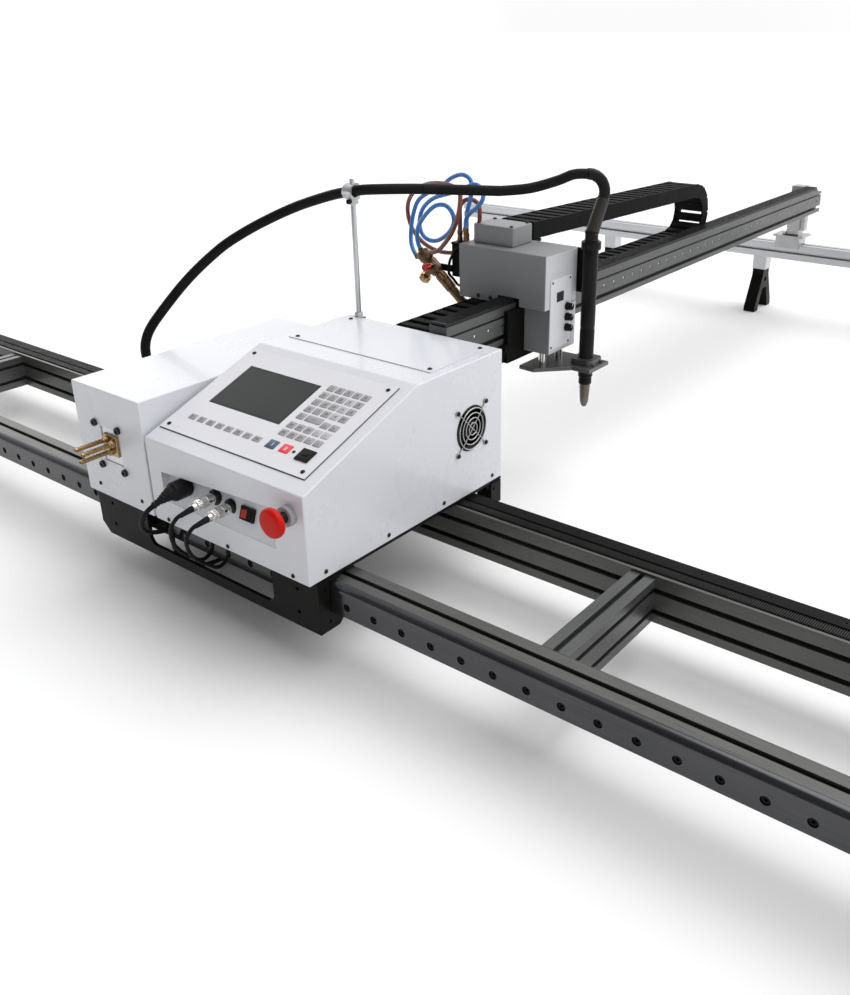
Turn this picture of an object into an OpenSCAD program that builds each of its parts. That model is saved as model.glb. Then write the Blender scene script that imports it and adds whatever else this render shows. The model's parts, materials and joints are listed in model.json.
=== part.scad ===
// Portable gantry cutting machine: a carriage with its control cabinet runs
// along a two-beam floor track, and a cross beam carries the torch lifter.
// Millimetres, +Z up, the floor at z = 0.
// Local frame of the modules: x along the track, y along the cross beam away
// from the operator, z up, with its zero at the bottom front right corner of
// the control cabinet. place() moves it to the part's own origin.

/* [Track] */
// length of the floor track
track_len = 2700; // [2680:10:3000]
// height of the cabinet floor above the ground
deck_h = 148.65; // [148.65:0.5:152.65]
// pitch of the counterbored holes along the front rail
rail_pitch = 50; // [50:10:100]
// width of each cross tie
tie_w = 40; // [30:1:50]
// distance between neighbouring cross ties
tie_pitch = 825; // [800:5:850]

// The far support and everything on the cross beam are drawn at 1/1.045 of
// their size; gplace() brings them to size about a fixed point.
/* [Far support] */
// length of the support rail
support_len = 2198; // [2190:2:2198]
// distance between the stands of the support rail
stand_pitch = 515; // [500:5:520]
// spread of a stand's foot on the floor
foot_spread = 120; // [100:1:140]

/* [Cabinet] */
// width of the main cabinet along the track
cab_w = 340; // [338:1:342]
// depth of the main cabinet
cab_d = 446; // [444:1:450]
// height of the main cabinet at its back
cab_h = 224; // [220:1:228]
// height of the upright front face
front_h = 137; // [135:1:140]
// depth at which the sloped panel meets the flat top
slope_end = 237.5; // [230:0.5:240]
// sheet thickness of the cabinets
sheet = 1.5; // [1.2:0.1:2]
// height of the gas cabinet
gas_h = 190; // [186:1:192]

/* [Fan] */
// diameter of the fan opening
fan_d = 76; // [70:1:78]
// distance between the fan screws
fan_pcd = 71.5; // [71:0.1:72]

/* [Cross beam] */
// far end of the cross beam
beam_end = 2125; // [2125:1:2130]
// height of the cross beam section
beam_h = 66; // [64:1:66]
// width of the cross beam section
beam_w = 36; // [34:1:36]
// pitch of the holes along the beam
beam_pitch = 38.5; // [38:0.5:60]

/* [Cable chain] */
// height of a chain link
link_h = 30; // [28:1:32]
// bend radius at the middle of the links
bend_r = 56.5; // [55:0.5:58]
// width of the chain
chain_w = 72; // [68:1:72]

/* [Torch] */
// radius of the machine torch body
torch_r = 13; // [12:0.5:13]
// diameter of the torch hose
hose_d = 17.5; // [16:0.5:18]

/* [Hidden] */
$fn = 48;
e = 0.01;
ox = 490;                       // track centre to local zero
y_front = -57;                  // front of the manifold's barbs
gk = 1.045;                     // scale of the gantry
gc = [858.7, -760, 702.4];      // point that the scaling leaves in place
y_back = gc[1] + gk * (2161 - gc[1]);  // back of the stands' feet
oy = -(y_front + y_back) / 2;
x0 = -track_len / 2 - ox;       // left end of the track
x1 = track_len / 2 - ox;        // right end of the track
sx0 = -1340;                    // left end of the support rail
slope_a = atan((cab_h - front_h) / slope_end);
pinion_r = 20;
pinion_y = 331;
rest_z = -deck_h;
gantry_rest = gc[2] - (deck_h + gc[2]) / gk;
loop_y = 1370;                  // centre of the chain's bend
chain_x = -150;                 // middle of the chain
chain_z0 = 213;
loop_z = chain_z0 + link_h / 2 + bend_r;
torch_x = 20;
torch_y = 675;
lead_d = 7.5;
signal_d = 6;
gas_d = 8;
// route of the mains lead, from the plug to the floor behind the front rail
lead_pts = [[-262, -46, 67], [-266, -57, 61], [-277, -62, 46], [-290, -58, 26], [-302, -42, 6],
            [-314, -20, -8], [-326, 4, -20], [-338, 22, -36], [-348, 28, -58], [-356, 36, -78],
            [-361, 50, -100], [-364, 70, -122], [-366, 98, -138.5], [-366.7, 132, -143.9], [-366.7, 170, -144.85], [-366.7, 196, -144.85]];
sock = [[-199, 74], [-166, 68]];  // the two signal sockets, x and z
coil_c = [-420, 213];           // middle of the coil of the mains lead
coil_r = 45;
// routes of the two signal cables, from the plugs to the deck's underside
sig_a = [[-199, -38, 71], [-207, -52, 64], [-218, -58, 44], [-228, -50, 14], [-236, -28, -16], [-238.5, -15.5, -27.5],
         [-241, -2.6, -38.8], [-242, 5.9, -42.7], [-242.6, 13.7, -42.4], [-243, 20.6, -38.8], [-243, 25.3, -32.6],
         [-243, 27, -25], [-243, 27, -14], [-243, 27, -4]];
sig_b = [[-166, -38, 65], [-174, -52, 58], [-184, -58, 38], [-193, -48, 8], [-200, -28, -16], [-202.5, -15.5, -27.5],
         [-204.5, -2.6, -38.8], [-205.4, 5.9, -42.7], [-206, 13.7, -42.4], [-206, 20.6, -38.8], [-206, 25.3, -32.6],
         [-206, 27, -25], [-206, 27, -14], [-206, 27, -4]];
// route of the torch hose, from the gland on the gas cabinet's side to the torch
hose_pts = [[-545, 210, 104], [-562, 210, 104], [-585.7, 210, 108.7], [-605.8, 209.5, 122.2], [-619.3, 209.5, 142.3],
            [-624, 211, 166], [-622, 217, 188], [-615, 227, 208], [-607, 241, 227], [-600, 258, 246], [-590, 280, 270], [-578, 304, 294], [-561, 328, 318], [-540, 351, 341],
            [-504, 378, 367], [-461, 402, 391], [-417, 421, 411], [-367, 434, 428], [-338, 440, 436], [-313, 442, 441],
            [-285, 444, 446], [-254, 450, 449], [-222, 461, 451], [-189, 476, 452], [-137, 516, 450], [-89, 560, 447],
            [-54, 595, 450], [-22, 629, 461], [-4.2, 648.1, 469.9], [12.4, 665, 470.3]];
// routes of the three gas hoses, from the hand torch to the fittings
gas_a = [[-313, 608, 302], [-325, 612, 312], [-335, 618, 326], [-339, 624, 346], [-338, 630, 373], [-328, 634, 399],
         [-303, 636, 416], [-273, 636, 430], [-249, 634, 446], [-222, 630, 454], [-203, 628, 448], [-199, 628, 432],
         [-203, 628, 412], [-209, 628, 393], [-211, 628, 376], [-211, 628, 363], [-211, 628, 353]];
gas_b = [[-298, 600, 320], [-302, 596, 334], [-298, 592, 352], [-286, 588, 370], [-265, 586, 393], [-245, 588, 410],
         [-227, 592, 405], [-216, 596, 390], [-223, 600, 371], [-239, 604, 353], [-266, 608, 336], [-292, 612, 334],
         [-308, 614, 345], [-311, 616, 367], [-301, 616, 391], [-274, 614, 411], [-233, 612, 424], [-197, 612, 438],
         [-176, 612, 446], [-164, 612, 439], [-167, 612, 421], [-182, 612, 402], [-196, 614, 388], [-203, 615, 376],
         [-203, 615, 366]];
gas_c = [[-264, 590, 318], [-242, 585, 326], [-224, 580, 341], [-205, 577, 362], [-190, 574, 389], [-182, 572, 415],
         [-186, 576, 434], [-210, 584, 442], [-248, 592, 442], [-288, 606, 434], [-330, 622, 414], [-352, 632, 390],
         [-358, 640, 362], [-350, 646, 336], [-328, 650, 316], [-298, 652, 306], [-268, 654, 306], [-243, 654, 311],
         [-222, 653, 322], [-207, 651, 340], [-199, 649, 360], [-196.5, 647.5, 378], [-196, 647, 394], [-198, 645.7, 402.9],
         [-203.5, 642.2, 409.4], [-211, 637.5, 411.8], [-218.5, 632.8, 409.4], [-224, 629.3, 402.9], [-226, 628, 394],
         [-226, 628, 376], [-226, 628, 357]];

// route of the hand torch's igniter lead
ignite = [[-207, 608, 334], [-218, 604, 325], [-229, 602, 307.5], [-233.5, 603, 290], [-236, 608, 279], [-234, 616, 270],
          [-224, 617, 260], [-212.3, 609, 262.3], [-200.8, 603, 268]];

// ---------- helpers ----------
module place() translate([ox, oy, deck_h]) children();
module gplace() place() translate((1 - gk) * gc) scale(gk) children();
function gm(p, k) = gc + k * (p - gc);
function ease(t) = t <= 0 ? 0 : t >= 1 ? 1 : t * t * (3 - 2 * t);

// box from one corner to the other
module bx(a, b) translate(a) cube([b[0] - a[0], b[1] - a[1], b[2] - a[2]]);

// cylinder along X, Y or Z from a point
module cx(p, r, l) translate(p) rotate([0, 90, 0]) cylinder(r = r, h = l);
module cy(p, r, l) translate(p) rotate([-90, 0, 0]) cylinder(r = r, h = l);
module cz(p, r, l) translate(p) cylinder(r = r, h = l);

// a profile drawn in y and z, run along x
module along_x(xa, xb) translate([xa, 0, 0]) rotate([90, 0, 90]) linear_extrude(xb - xa) children();

// a profile drawn in x and z, run along y
module along_y(ya, yb) translate([0, yb, 0]) rotate([90, 0, 0]) linear_extrude(yb - ya) children();

// T-slot cut: mouth at the origin, opening toward -y
module slot2d(w = 8, lip = 3, cw = 17, cd = 7) {
    translate([-w / 2, -e]) square([w, lip + 2 * e]);
    translate([-cw / 2, lip]) square([cw, cd]);
}

// square aluminium section with a slot in each side, centred
module section2d(s, sy = 0) difference() {
    square([s, s], center = true);
    for (a = [0, 180]) rotate(a) translate([0, -s / 2]) slot2d();
    translate([-s / 2, sy]) rotate(-90) slot2d();
    translate([s / 2, sy]) rotate(90) slot2d();
}

// tube swept along a route: one closed ring of sides at each point
function unit(v) = v / norm(v);
function cr(a, b) = cross(a, b);
function cat(p, i, t) = let (n = len(p) - 1, a = p[max(i - 1, 0)], b = p[i], c = p[min(i + 1, n)], d = p[min(i + 2, n)])
    0.5 * ((2 * b) + (c - a) * t + (2 * a - 5 * b + 4 * c - d) * t * t + (3 * b - a - 3 * c + d) * t * t * t);
function smooth(p, k) = [for (i = [0 : len(p) - 2]) for (j = [0 : k - 1]) cat(p, i, j / k), p[len(p) - 1]];
module tube(pts, d, k = 2, n = 8) {
    p = smooth(pts, k);
    m = len(p);
    t = [for (i = [0 : m - 1]) unit(p[min(i + 1, m - 1)] - p[max(i - 1, 0)])];
    function up(i) = abs(t[i][2]) > 0.9 ? [1, 0, 0] : [0, 0, 1];
    s0 = unit(cr(t[0], up(0)));
    sides = [for (i = 0, s = s0; i < m; i = i + 1, s = i < m ? unit(s - (s * t[i]) * t[i]) : s) s];
    ring = [for (i = [0 : m - 1]) let (s = sides[i], u = cr(t[i], s))
        for (a = [0 : n - 1]) p[i] + d / 2 * (cos(360 * a / n) * s + sin(360 * a / n) * u)];
    polyhedron(ring, concat(
        [[for (a = [n - 1 : -1 : 0]) a]],
        [for (i = [0 : m - 2]) for (a = [0 : n - 1])
            [i * n + a, i * n + (a + 1) % n, (i + 1) * n + (a + 1) % n, (i + 1) * n + a]],
        [[for (a = [0 : n - 1]) (m - 1) * n + a]]));
}

// rod from a to b
module rod(a, b, ra, rb) let (d = unit(b - a)) translate(a)
    rotate([0, acos(d[2]), atan2(d[1], d[0])]) cylinder(r1 = ra, r2 = rb, h = norm(b - a));

// hexagon socket screw head, head top at the origin, pointing down -z
module cap_head(r, h, hex) difference() {
    translate([0, 0, -h]) cylinder(r = r, h = h);
    translate([0, 0, -h * 0.5]) cylinder(r = hex / 2, h = h, $fn = 6);
}

// ---------- floor track ----------
rail_x = [for (i = [0 : floor((track_len - 45) / rail_pitch)]) x0 + 22.7 + i * rail_pitch];
strip_x = [for (i = [0 : floor((track_len - 90) / 100)]) x0 + 45 + i * 100];
tie_x = [for (i = [-1 : 1]) -ox + 2 - 0.5 + i * tie_pitch];

module front_beam() color([0.42, 0.42, 0.41]) place()
    along_x(x0, x1) translate([69.5, -32.5]) difference() {
        section2d(45, -5);
        circle(d = 8);
    }

module front_rail() color([0.45, 0.45, 0.45]) place() difference() {
    along_x(x0, x1) polygon(concat([[35, -55], [47, -55], [47, -8]],
        [for (a = [90 : 9 : 180]) [46 + 11 * cos(a), -19 + 11 * sin(a)]]));
    for (x = rail_x) {
        cy([x, 34, -37.5], 3.5, 14);
        cy([x, 34, -37.5], 6, 8);
    }
}

module rear_beam() color([0.38, 0.38, 0.37]) place() along_x(x0, x1) difference() {
    union() {
        translate([320, -82]) square([56, 70]);
        translate([320, -12 - e]) square([6, 6 + e]);
    }
    for (z = [-30, -64]) {
        translate([320, z]) rotate(-90) slot2d();
        translate([376, z]) rotate(90) slot2d();
    }
    translate([348, -47]) circle(d = 22);
    translate([364, -12]) rotate(180) slot2d(8, 3, 12, 5);
}

module drive_rack() color([0.06, 0.06, 0.06]) place() bx([x0 + 1, 331, -12], [x1 - 1, 347, -6.6]);

module rear_strip() color([0.62, 0.62, 0.61]) place() difference() {
    bx([x0 + 1, 352, -12], [x1 - 1, 376, -6.4]);
    for (x = strip_x) {
        cz([x, 364, -13], 3.5, 8);
        cz([x, 364, -9.3], 5.3, 4);
    }
}

module cross_ties() color([0.40, 0.40, 0.39]) place() for (x = tie_x)
    translate([x, 92, -45]) rotate([-90, 0, 0]) linear_extrude(228) difference() {
        square([tie_w, 70], center = true);
        for (s = [0, 180]) rotate(s) translate([0, -35]) slot2d();
        for (y = [-17, 17]) {
            translate([-tie_w / 2, y]) rotate(-90) slot2d();
            translate([tie_w / 2, y]) rotate(90) slot2d();
            translate([0, y]) circle(d = 7);
        }
    }

foot_x = [x0 + 45, x1 - 45];
module track_foot(x, y, top) difference() {
    union() {
        bx([x - 42, y - 20, rest_z], [x + 42, y + 20, rest_z + 8]);
        bx([x - 18, y - 18, rest_z + 8 - e], [x + 18, y + 18, top]);
    }
    for (s = [-32, 32]) cz([x + s, y, rest_z - 1], 4.5, 10);
}
module track_feet() color([0.10, 0.10, 0.10]) place() for (x = foot_x) {
    track_foot(x, 69.5, -55);
    track_foot(x, 348, -82);
}

module rail_screws() color([0.10, 0.10, 0.10]) place() {
    for (x = rail_x) {
        translate([x, 36.5, -37.5]) rotate([90, 0, 0]) cap_head(4.8, 5.5, 5);
        cy([x, 41.9, -37.5], 3, 11);
    }
    for (x = strip_x) {
        translate([x, 364, -6.6]) cap_head(5, 2.6, 4);
        cz([x, 364, -19], 3, 9.9);
    }
}

// ---------- far support ----------
stand_x = [for (i = [0 : 4]) sx0 + 94 + i * stand_pitch];
module support_rail() color([0.82, 0.83, 0.84]) gplace()
    along_x(sx0, sx0 + support_len) translate([2100, 72.5]) difference() {
        section2d(45, 0);
        circle(d = 8);
    }

module support_legs() color([0.78, 0.79, 0.80]) gplace() for (x = stand_x) difference() {
    bx([x - 20, 2080, 10], [x + 20, 2120, 50]);
    cz([x, 2100, 9], 5, 42);
}

module support_feet() color([0.07, 0.07, 0.07]) gplace() for (x = stand_x)
    along_x(x - 17, x + 17) translate([2100, 0]) difference() {
        polygon([[-foot_spread / 2 - 1, gantry_rest], [-foot_spread / 2 + 25, gantry_rest], [-foot_spread / 2 + 27, gantry_rest + 16],
                 [-14, -48], [14, -48], [foot_spread / 2 - 27, gantry_rest + 16], [foot_spread / 2 - 25, gantry_rest],
                 [foot_spread / 2 + 1, gantry_rest], [foot_spread / 2 + 1, gantry_rest + 14], [22, -8], [22, 10], [-22, 10], [-22, -8],
                 [-foot_spread / 2 - 1, gantry_rest + 14]]);
        translate([0, -22]) circle(d = 14);
    }

// ---------- carriage ----------
module deck_plate() color([0.10, 0.10, 0.09]) place() difference() {
    bx([-519, 12, -4], [0, 445, 0]);
    bx([-215, 236, -5], [-155, 354, 1]);
    bx([-262, 24, -5], [-200, 34, 1]);
    bx([-440, 150, -5], [-300, 260, 1]);
    for (x = [-480, -60]) for (y = [60, 400]) cz([x, y, -5], 3.3, 6);
}

module front_bracket() color([0.09, 0.085, 0.08]) place() {
    difference() {
        along_y(12, 18) difference() {
            polygon([[-500, -84], [2, -84], [2, -4], [-519, -4], [-519, -66]]);
            translate([-385, -66]) square([293, 66]);
        }
        for (x = [-480, -40]) for (z = [-22, -60]) cy([x, 11, z], 3.3, 8);
    }
    along_y(12, 18) translate([-385, -66]) difference() {
        square([293, 14]);
        translate([14, 14]) circle(14);
        translate([279, 14]) circle(14);
        translate([14, 0]) square([265, 15]);
    }
    difference() {
        along_x(-4, 2) polygon([[17.9, -84], [50, -84], [58, -76], [58, -56.5], [33.5, -56.5], [33.5, -6.5],
            [58, -6.5], [58, -4], [17.9, -4]]);
        cx([-5, 26, -16], 2.5, 8);
        cx([-5, 32, -70], 2.5, 8);
    }
    along_x(-519, -513) polygon([[17.9, -66], [50, -66], [58, -62], [58, -56.5], [33.5, -56.5], [33.5, -6.5],
        [58, -6.5], [58, -4], [17.9, -4]]);
}

module rear_bracket() color([0.09, 0.085, 0.08]) place() {
    difference() {
        bx([-519, 436, -44], [2, 442, -4]);
        for (x = [-480, -250, -20]) cy([x, 435, -26], 3.3, 8);
    }
    difference() {
        bx([-4, 415, -44], [2, 436 + e, -4]);
        cx([-5, 422, -14], 2.5, 8);
    }
    bx([-519, 415, -44], [-513, 436 + e, -4]);
    bx([-175, 442 - e, -44], [-97, 447 + e, -4]);
    difference() {
        bx([-175, 447, -44], [-97, 500, 166.9]);
        bx([-169, 453, -45], [-103, 494, 158.9]);
    }
}

module guide_shoes() color([0.55, 0.56, 0.57]) place() for (x = [-505, -85]) {
    along_x(x, x + 75) union() {
        polygon([[18, -64], [46, -64], [46, -55.1], [34.9, -55.1], [34.9, -7.9], [50, -7.9], [50, -4], [18, -4]]);
    }
    along_x(x, x + 75) polygon([[376.2, -34], [392, -34], [392, -4], [354, -4], [354, -4.7], [376.2, -4.7]]);
}

// cabinet outline in y and z, pulled in by t
module cab2d(t) polygon([[t, t > 0 ? -1 : 0], [cab_d - t, t > 0 ? -1 : 0], [cab_d - t, cab_h - t],
    [slope_end + t * tan(slope_a / 2), cab_h - t], [t, front_h - t * (1 / cos(slope_a) - tan(slope_a))]]);

module on_slope() translate([0, 0, front_h]) rotate([slope_a, 0, 0]) children();

module main_cabinet() color([0.93, 0.93, 0.95]) place() difference() {
    union() {
        difference() {
            along_x(-cab_w, 0) cab2d(0);
            along_x(-cab_w + sheet, -sheet) cab2d(sheet);
            // opening under the top cover
            bx([-298, 310, cab_h - 5], [-40, 412, cab_h + 1]);
            // window behind the panel plate
            on_slope() bx([-318, 44, -10], [-38, 220, 10]);
            // opening for the connector recess
            along_y(-1, sheet + 1) polygon([[-309, 40], [-62, 40], [-62, 103], [-309, 88]]);
            // fan opening and its screw holes
            cx([-sheet - 1, 364, 114.4], fan_d / 2, 5);
            for (s = [-1, 1]) for (t = [-1, 1]) cx([-sheet - 1, 364 + s * fan_pcd / 2, 114.4 + t * fan_pcd / 2], 2.2, 5);
            // rear vent slots
            for (i = [0 : 7]) bx([-300 + i * 16, cab_d - 3, 60], [-292 + i * 16, cab_d + 1, 120]);
            cy([-28, -1, 104], 11.2, 4);
            // holes for the cover's and the panel's screws
            for (p = [[-310.8, 422.8], [-310.8, 296], [-28, 298], [-28, 423.5]]) cz([p[0], p[1], cab_h - 5], 2, 8);
            on_slope() for (x = [-322, -34]) for (y = [38, 225]) cz([x, y, -6], 2, 10);
            for (x = [-307, -169, -32]) cy([x, -1, 7.5], 2, 4);
            for (y = [32, 162, 292, 420]) {
                cx([-3, y, 11], 2, 4);
            }
        }
        // sloping recess tray: deep at the top, flush at the bottom
        difference() {
            along_x(-310.5, -60.5) polygon([[0.2, 40], [1.7, 38.6], [25.5, 104], [1.2, 104], [1.2, 102.5], [22.4, 102.5]]);
            translate([-262, 0, 74]) rotate([-90, 0, 0]) translate([0, 0, -1]) cylinder(r = 15.2, h = 40);
            for (p = sock) cy([p[0], -1, p[1]], 8.2, 40);
            on_tray(-127, 69) bx([-12, -4, -8.2], [12, 12, 8.2]);
        }
        for (x = [-310.5, -62]) along_x(x, x + 1.5) polygon([[1.2, 40], [1.7, 38.6], [25.5, 104], [1.2, 104]]);
    }
}

module top_cover() color([0.93, 0.93, 0.95]) place() difference() {
    bx([-323, 287, cab_h], [-17, 435, cab_h + 1.5]);
    for (p = [[-310.8, 422.8], [-310.8, 296], [-28, 298], [-28, 423.5]]) cz([p[0], p[1], cab_h - 1], 2.2, 4);
}

module gas_cabinet() color([0.93, 0.93, 0.95]) place() difference() {
    bx([-519, 0, 0], [-345, 435, gas_h]);
    bx([-519 + sheet, sheet, -1], [-345 - sheet, 435 - sheet, gas_h - sheet]);
    // window for the gas manifold
    bx([-456, -1, 68], [-408, 3, 127]);
    for (p = [[-468.5, 130], [-407, 130], [-464, 59], [-405, 59]]) cy([p[0], -1, p[1]], 3.2, 4);
    for (x = [-483.5, -372]) cy([x, -1, 19], 2, 4);
    // hose gland hole in the left side
    cx([-521, 210, 104], 12.2, 4);
    // passage to the main cabinet
    bx([-349, 180, 40], [-344, 260, 110]);
}

// gas manifold with three hose barbs, standing in the window
barb_a = [[-440, 108], [-424, 104], [-432, 90]];
module gas_manifold() color([0.72, 0.52, 0.26]) place() {
    difference() {
        bx([-452, 6, 78], [-412, 34, 120]);
        for (p = barb_a) cy([p[0], 5, p[1]], 3, 31);
    }
    // mounting strip behind the cabinet's face
    difference() {
        bx([-476, 1.5, 48], [-392, 6, 140]);
        bx([-456, 1, 68], [-408, 6.5, 127]);
        for (p = [[-468.5, 130], [-407, 130], [-464, 59], [-405, 59]]) cy([p[0], 0, p[1]], 3.2, 8);
    }
    for (s = [-456, -412]) bx([s, 3, 90], [s + 4, 12, 112]);
    for (p = barb_a) difference() {
        union() {
            cy([p[0], -8, p[1]], 6.5, 14.1);
            cy([p[0], y_front, p[1]], 4, 51);
        }
        cy([p[0], y_front - 1, p[1]], 2.5, 67);
    }
}

module control_panel() color([0.94, 0.94, 0.95]) place() on_slope() difference() {
    bx([-333, 28, 0], [-22, 235, 2]);
    bx([-301, 101.5, -1], [-143.5, 197, 3]);
    for (x = [-322, -34]) for (y = [38, 225]) cz([x, y, -1], 2.2, 4);
}

module screen() color([0.16, 0.17, 0.18]) place() on_slope() {
    bx([-300.8, 101.7, -6], [-143.7, 196.8, 1.4]);
    bx([-306, 96, -12], [-138, 203, -5.9]);
}

module key(x, v, w = 14.6, d = 13.2) bx([x - w / 2, v - d / 2, 2], [x + w / 2, v + d / 2, 2.6]);
module keypad() color([0.62, 0.62, 0.65]) place() on_slope() {
    for (i = [0 : 4]) for (j = [0 : 3]) key(-123 + i * 17.25, 197.5 - j * 17);
    key(-123, 129.5);
    key(-97.1, 129.5, 31.8);
    for (i = [0 : 2]) for (j = [0 : 1]) key(-123 + i * 17.25, 108.5 - j * 17.3);
    for (i = [3, 4]) for (j = [0 : 2]) key(-123 + i * 17.25, 125.8 - j * 17.3, 14.6, 12.6);
    for (i = [0 : 7]) key(-295 + i * 20.4, 64.5, 15, 11);
    key(-120.5, 64.5, 19, 17);
    key(-93, 65, 19, 17);
    cz([-76.5, 64.5, 2], 2.5, 1.5);
    bx([-66, 53, 2], [-41, 76, 5]);
}

module mains_plug() color([0.04, 0.04, 0.04]) place() {
    cy([-262, -16, 74], 15, 32);
    hull() {
        cy([-262, -18, 74], 14, 4);
        cy([-262, -40, 68], 6, 2);
    }
    cy([-262, -46, 67], 4.6, 8);
    // plug at the far end of the lead, lying beside the coil
    cx([-466, 288, -133.15], 15.5, 36);
    hull() {
        cx([-432, 288, -133.15], 14, 4);
        cx([-404, 288, -133.15], 5.5, 2);
    }
    for (y = [278.5, 297.5]) cx([-485, y, -133.15], 2.4, 20);
}

module mains_lead() color([0.03, 0.03, 0.03]) place() tube(lead_pts, lead_d, 2, 8);

// the rest of the mains lead, wound in a round coil on the floor
module lead_coil() color([0.03, 0.03, 0.03]) place() translate([coil_c[0], coil_c[1], rest_z])
    rotate_extrude() translate([coil_r - 12.4, 0]) square([24.8, 24.3]);

module signal_plugs() color([0.75, 0.75, 0.76]) place() for (p = sock) {
    cy([p[0], -6, p[1]], 8, 24);
    cy([p[0], -24, p[1]], 9, 18.1);
    cy([p[0], -38, p[1] - 3], 4.5, 14.1);
}

module signal_cables() color([0.03, 0.03, 0.03]) place() {
    tube(sig_a, signal_d, 2, 8);
    tube(sig_b, signal_d, 2, 8);
}

// the connector tray leans back: its face runs from flush at the bottom
tray_a = atan(22.2 / 62.5);
module on_tray(x, z) translate([x, 0.2 + (z - 40) * 22.2 / 62.5, z]) rotate([-tray_a, 0, 0]) children();

module rocker_frame() color([0.04, 0.04, 0.04]) place() on_tray(-127, 69) difference() {
    union() {
        bx([-11.8, -1, -8], [11.8, 26, 8]);
        bx([-14, -4, -10], [14, 0, 10]);
    }
    bx([-9.5, -5, -6.6], [9.5, 22, 6.6]);
}

module rocker_button() color([0.75, 0.10, 0.06]) place() on_tray(-127, 69)
    translate([0, 0, -6.3]) linear_extrude(12.6) polygon([[-7.7, -7.5], [0, -4.4], [8.9, -4.2], [7, 6], [0, 12], [-7, 6]]);

module estop_collar() color([0.45, 0.46, 0.48]) place() difference() {
    union() {
        cy([-28, -10, 104], 15, 10);
        cy([-28, -e, 104], 11, 34);
    }
    cy([-28, -11, 104], 8.05, 46);
}

module estop_stem() color([0.12, 0.12, 0.12]) place() difference() {
    cy([-28, -16, 104], 8, 46);
    cy([-28, -17, 104], 4.05, 36);
}

module estop_head() color([0.85, 0.05, 0.03]) place() {
    cy([-28, -38, 104], 21.5, 13.5);
    cy([-28, -24.6, 104], 13, 4.4);
    cy([-28, -21, 104], 4, 36);
}

module fan_frame() color([0.10, 0.10, 0.10]) place() {
    difference() {
        bx([-27.5, 324, 74.4], [-1.5, 404, 154.4]);
        cx([-28, 364, 114.4], 38, 30);
        for (s = [-1, 1]) for (t = [-1, 1]) cx([-28, 364 + s * fan_pcd / 2, 114.4 + t * fan_pcd / 2], 2.2, 30);
    }
    cx([-27.5, 364, 114.4], 17, 4);
    for (a = [20 : 90 : 290]) translate([-27.5, 364, 114.4]) rotate([a, 0, 0]) bx([0, 16, -2], [4, 38.5, 2]);
    // wire finger guard outside the cabinet
    for (r = [10, 18, 26, 34]) translate([3, 364, 114.4]) rotate([0, 90, 0])
        rotate_extrude() translate([r, 0]) circle(r = 1, $fn = 16);
    for (a = [45, 135]) translate([1.6, 364, 114.4]) rotate([a, 0, 0]) {
        difference() {
            bx([-0.9, -56, -1], [0.9, 56, 1]);
            for (s = [-1, 1]) cx([-2, s * fan_pcd / sqrt(2), 0], 2.2, 6);
        }
        for (s = [-1, 1]) difference() {
            cx([-0.9, s * fan_pcd / sqrt(2), 0], 5, 1.8);
            cx([-2, s * fan_pcd / sqrt(2), 0], 2.2, 6);
        }
    }
}

module fan_rotor() color([0.13, 0.13, 0.13]) place() translate([-22.5, 364, 114.4]) {
    cx([0, 0, 0], 16.5, 18);
    for (a = [0 : 51.43 : 320]) rotate([a, 0, 0]) translate([9, 0, 0]) rotate([0, 0, 0])
        translate([0, 15.5, 0]) rotate([0, -38, 0]) bx([-9, 0, -1], [9, 20.5, 1]);
}

module round_head(r) { cylinder(r = r, h = 1.8); translate([0, 0, -3.5]) cylinder(r = 1.9, h = 3.6); }
module cabinet_screws() color([0.12, 0.12, 0.12]) place() {
    for (p = [[-310.8, 422.8], [-310.8, 296], [-28, 298], [-28, 423.5]]) translate([p[0], p[1], cab_h + 1.5]) round_head(4);
    on_slope() for (x = [-322, -34]) for (y = [38, 225]) translate([x, y, 2]) round_head(3.5);
    for (x = [-307, -169, -32]) translate([x, 0, 7.5]) rotate([90, 0, 0]) round_head(3.5);
    for (x = [-483.5, -372]) translate([x, 0, 19]) rotate([90, 0, 0]) round_head(3.5);
    for (y = [32, 162, 292, 420]) translate([0, y, 11]) rotate([0, 90, 0]) round_head(3.5);
    for (p = [[-468.5, 130], [-407, 130], [-464, 59], [-405, 59]]) {
        cy([p[0], -5, p[1]], 6, 5);
        cy([p[0], -e, p[1]], 3, 9);
    }
    for (s = [-1, 1]) for (t = [-1, 1]) {
        translate([2.5, 364 + s * fan_pcd / 2, 114.4 + t * fan_pcd / 2]) rotate([0, 90, 0]) cylinder(r = 3.8, h = 2);
        cx([-8, 364 + s * fan_pcd / 2, 114.4 + t * fan_pcd / 2], 2, 10.6);
    }
}

module hose_pole() color([0.75, 0.76, 0.77]) place() {
    cz([-313, 446, cab_h + 1.4], 4.5, 418 - cab_h - 1.4);
    bx([-325, 437, cab_h], [-301, cab_d, cab_h + 1.5]);
    bx([-325, cab_d - e, cab_h - 24], [-301, cab_d + 4.6, cab_h + 1.5]);
}

// clamp block on the pole, and the gland in the gas cabinet's side
module hose_mounts() color([0.72, 0.72, 0.71]) place() {
    difference() {
        bx([-323, 430, 418], [-303, 455, 462]);
        cx([-324, 442, 441], hose_d / 2 + 0.15, 22);
    }
    cx([-545, 210, 104], 15, 26);
    cx([-520, 210, 104], 12, 6);
}

module drive_motor() color([0.12, 0.12, 0.13]) place() {
    bx([-206, 262, -7.5], [-164, 320, 34.5]);
    bx([-222, 268, 0], [-148, 314, 4]);
    cy([-185, 319, 13.5], 5, 12);
}

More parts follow.
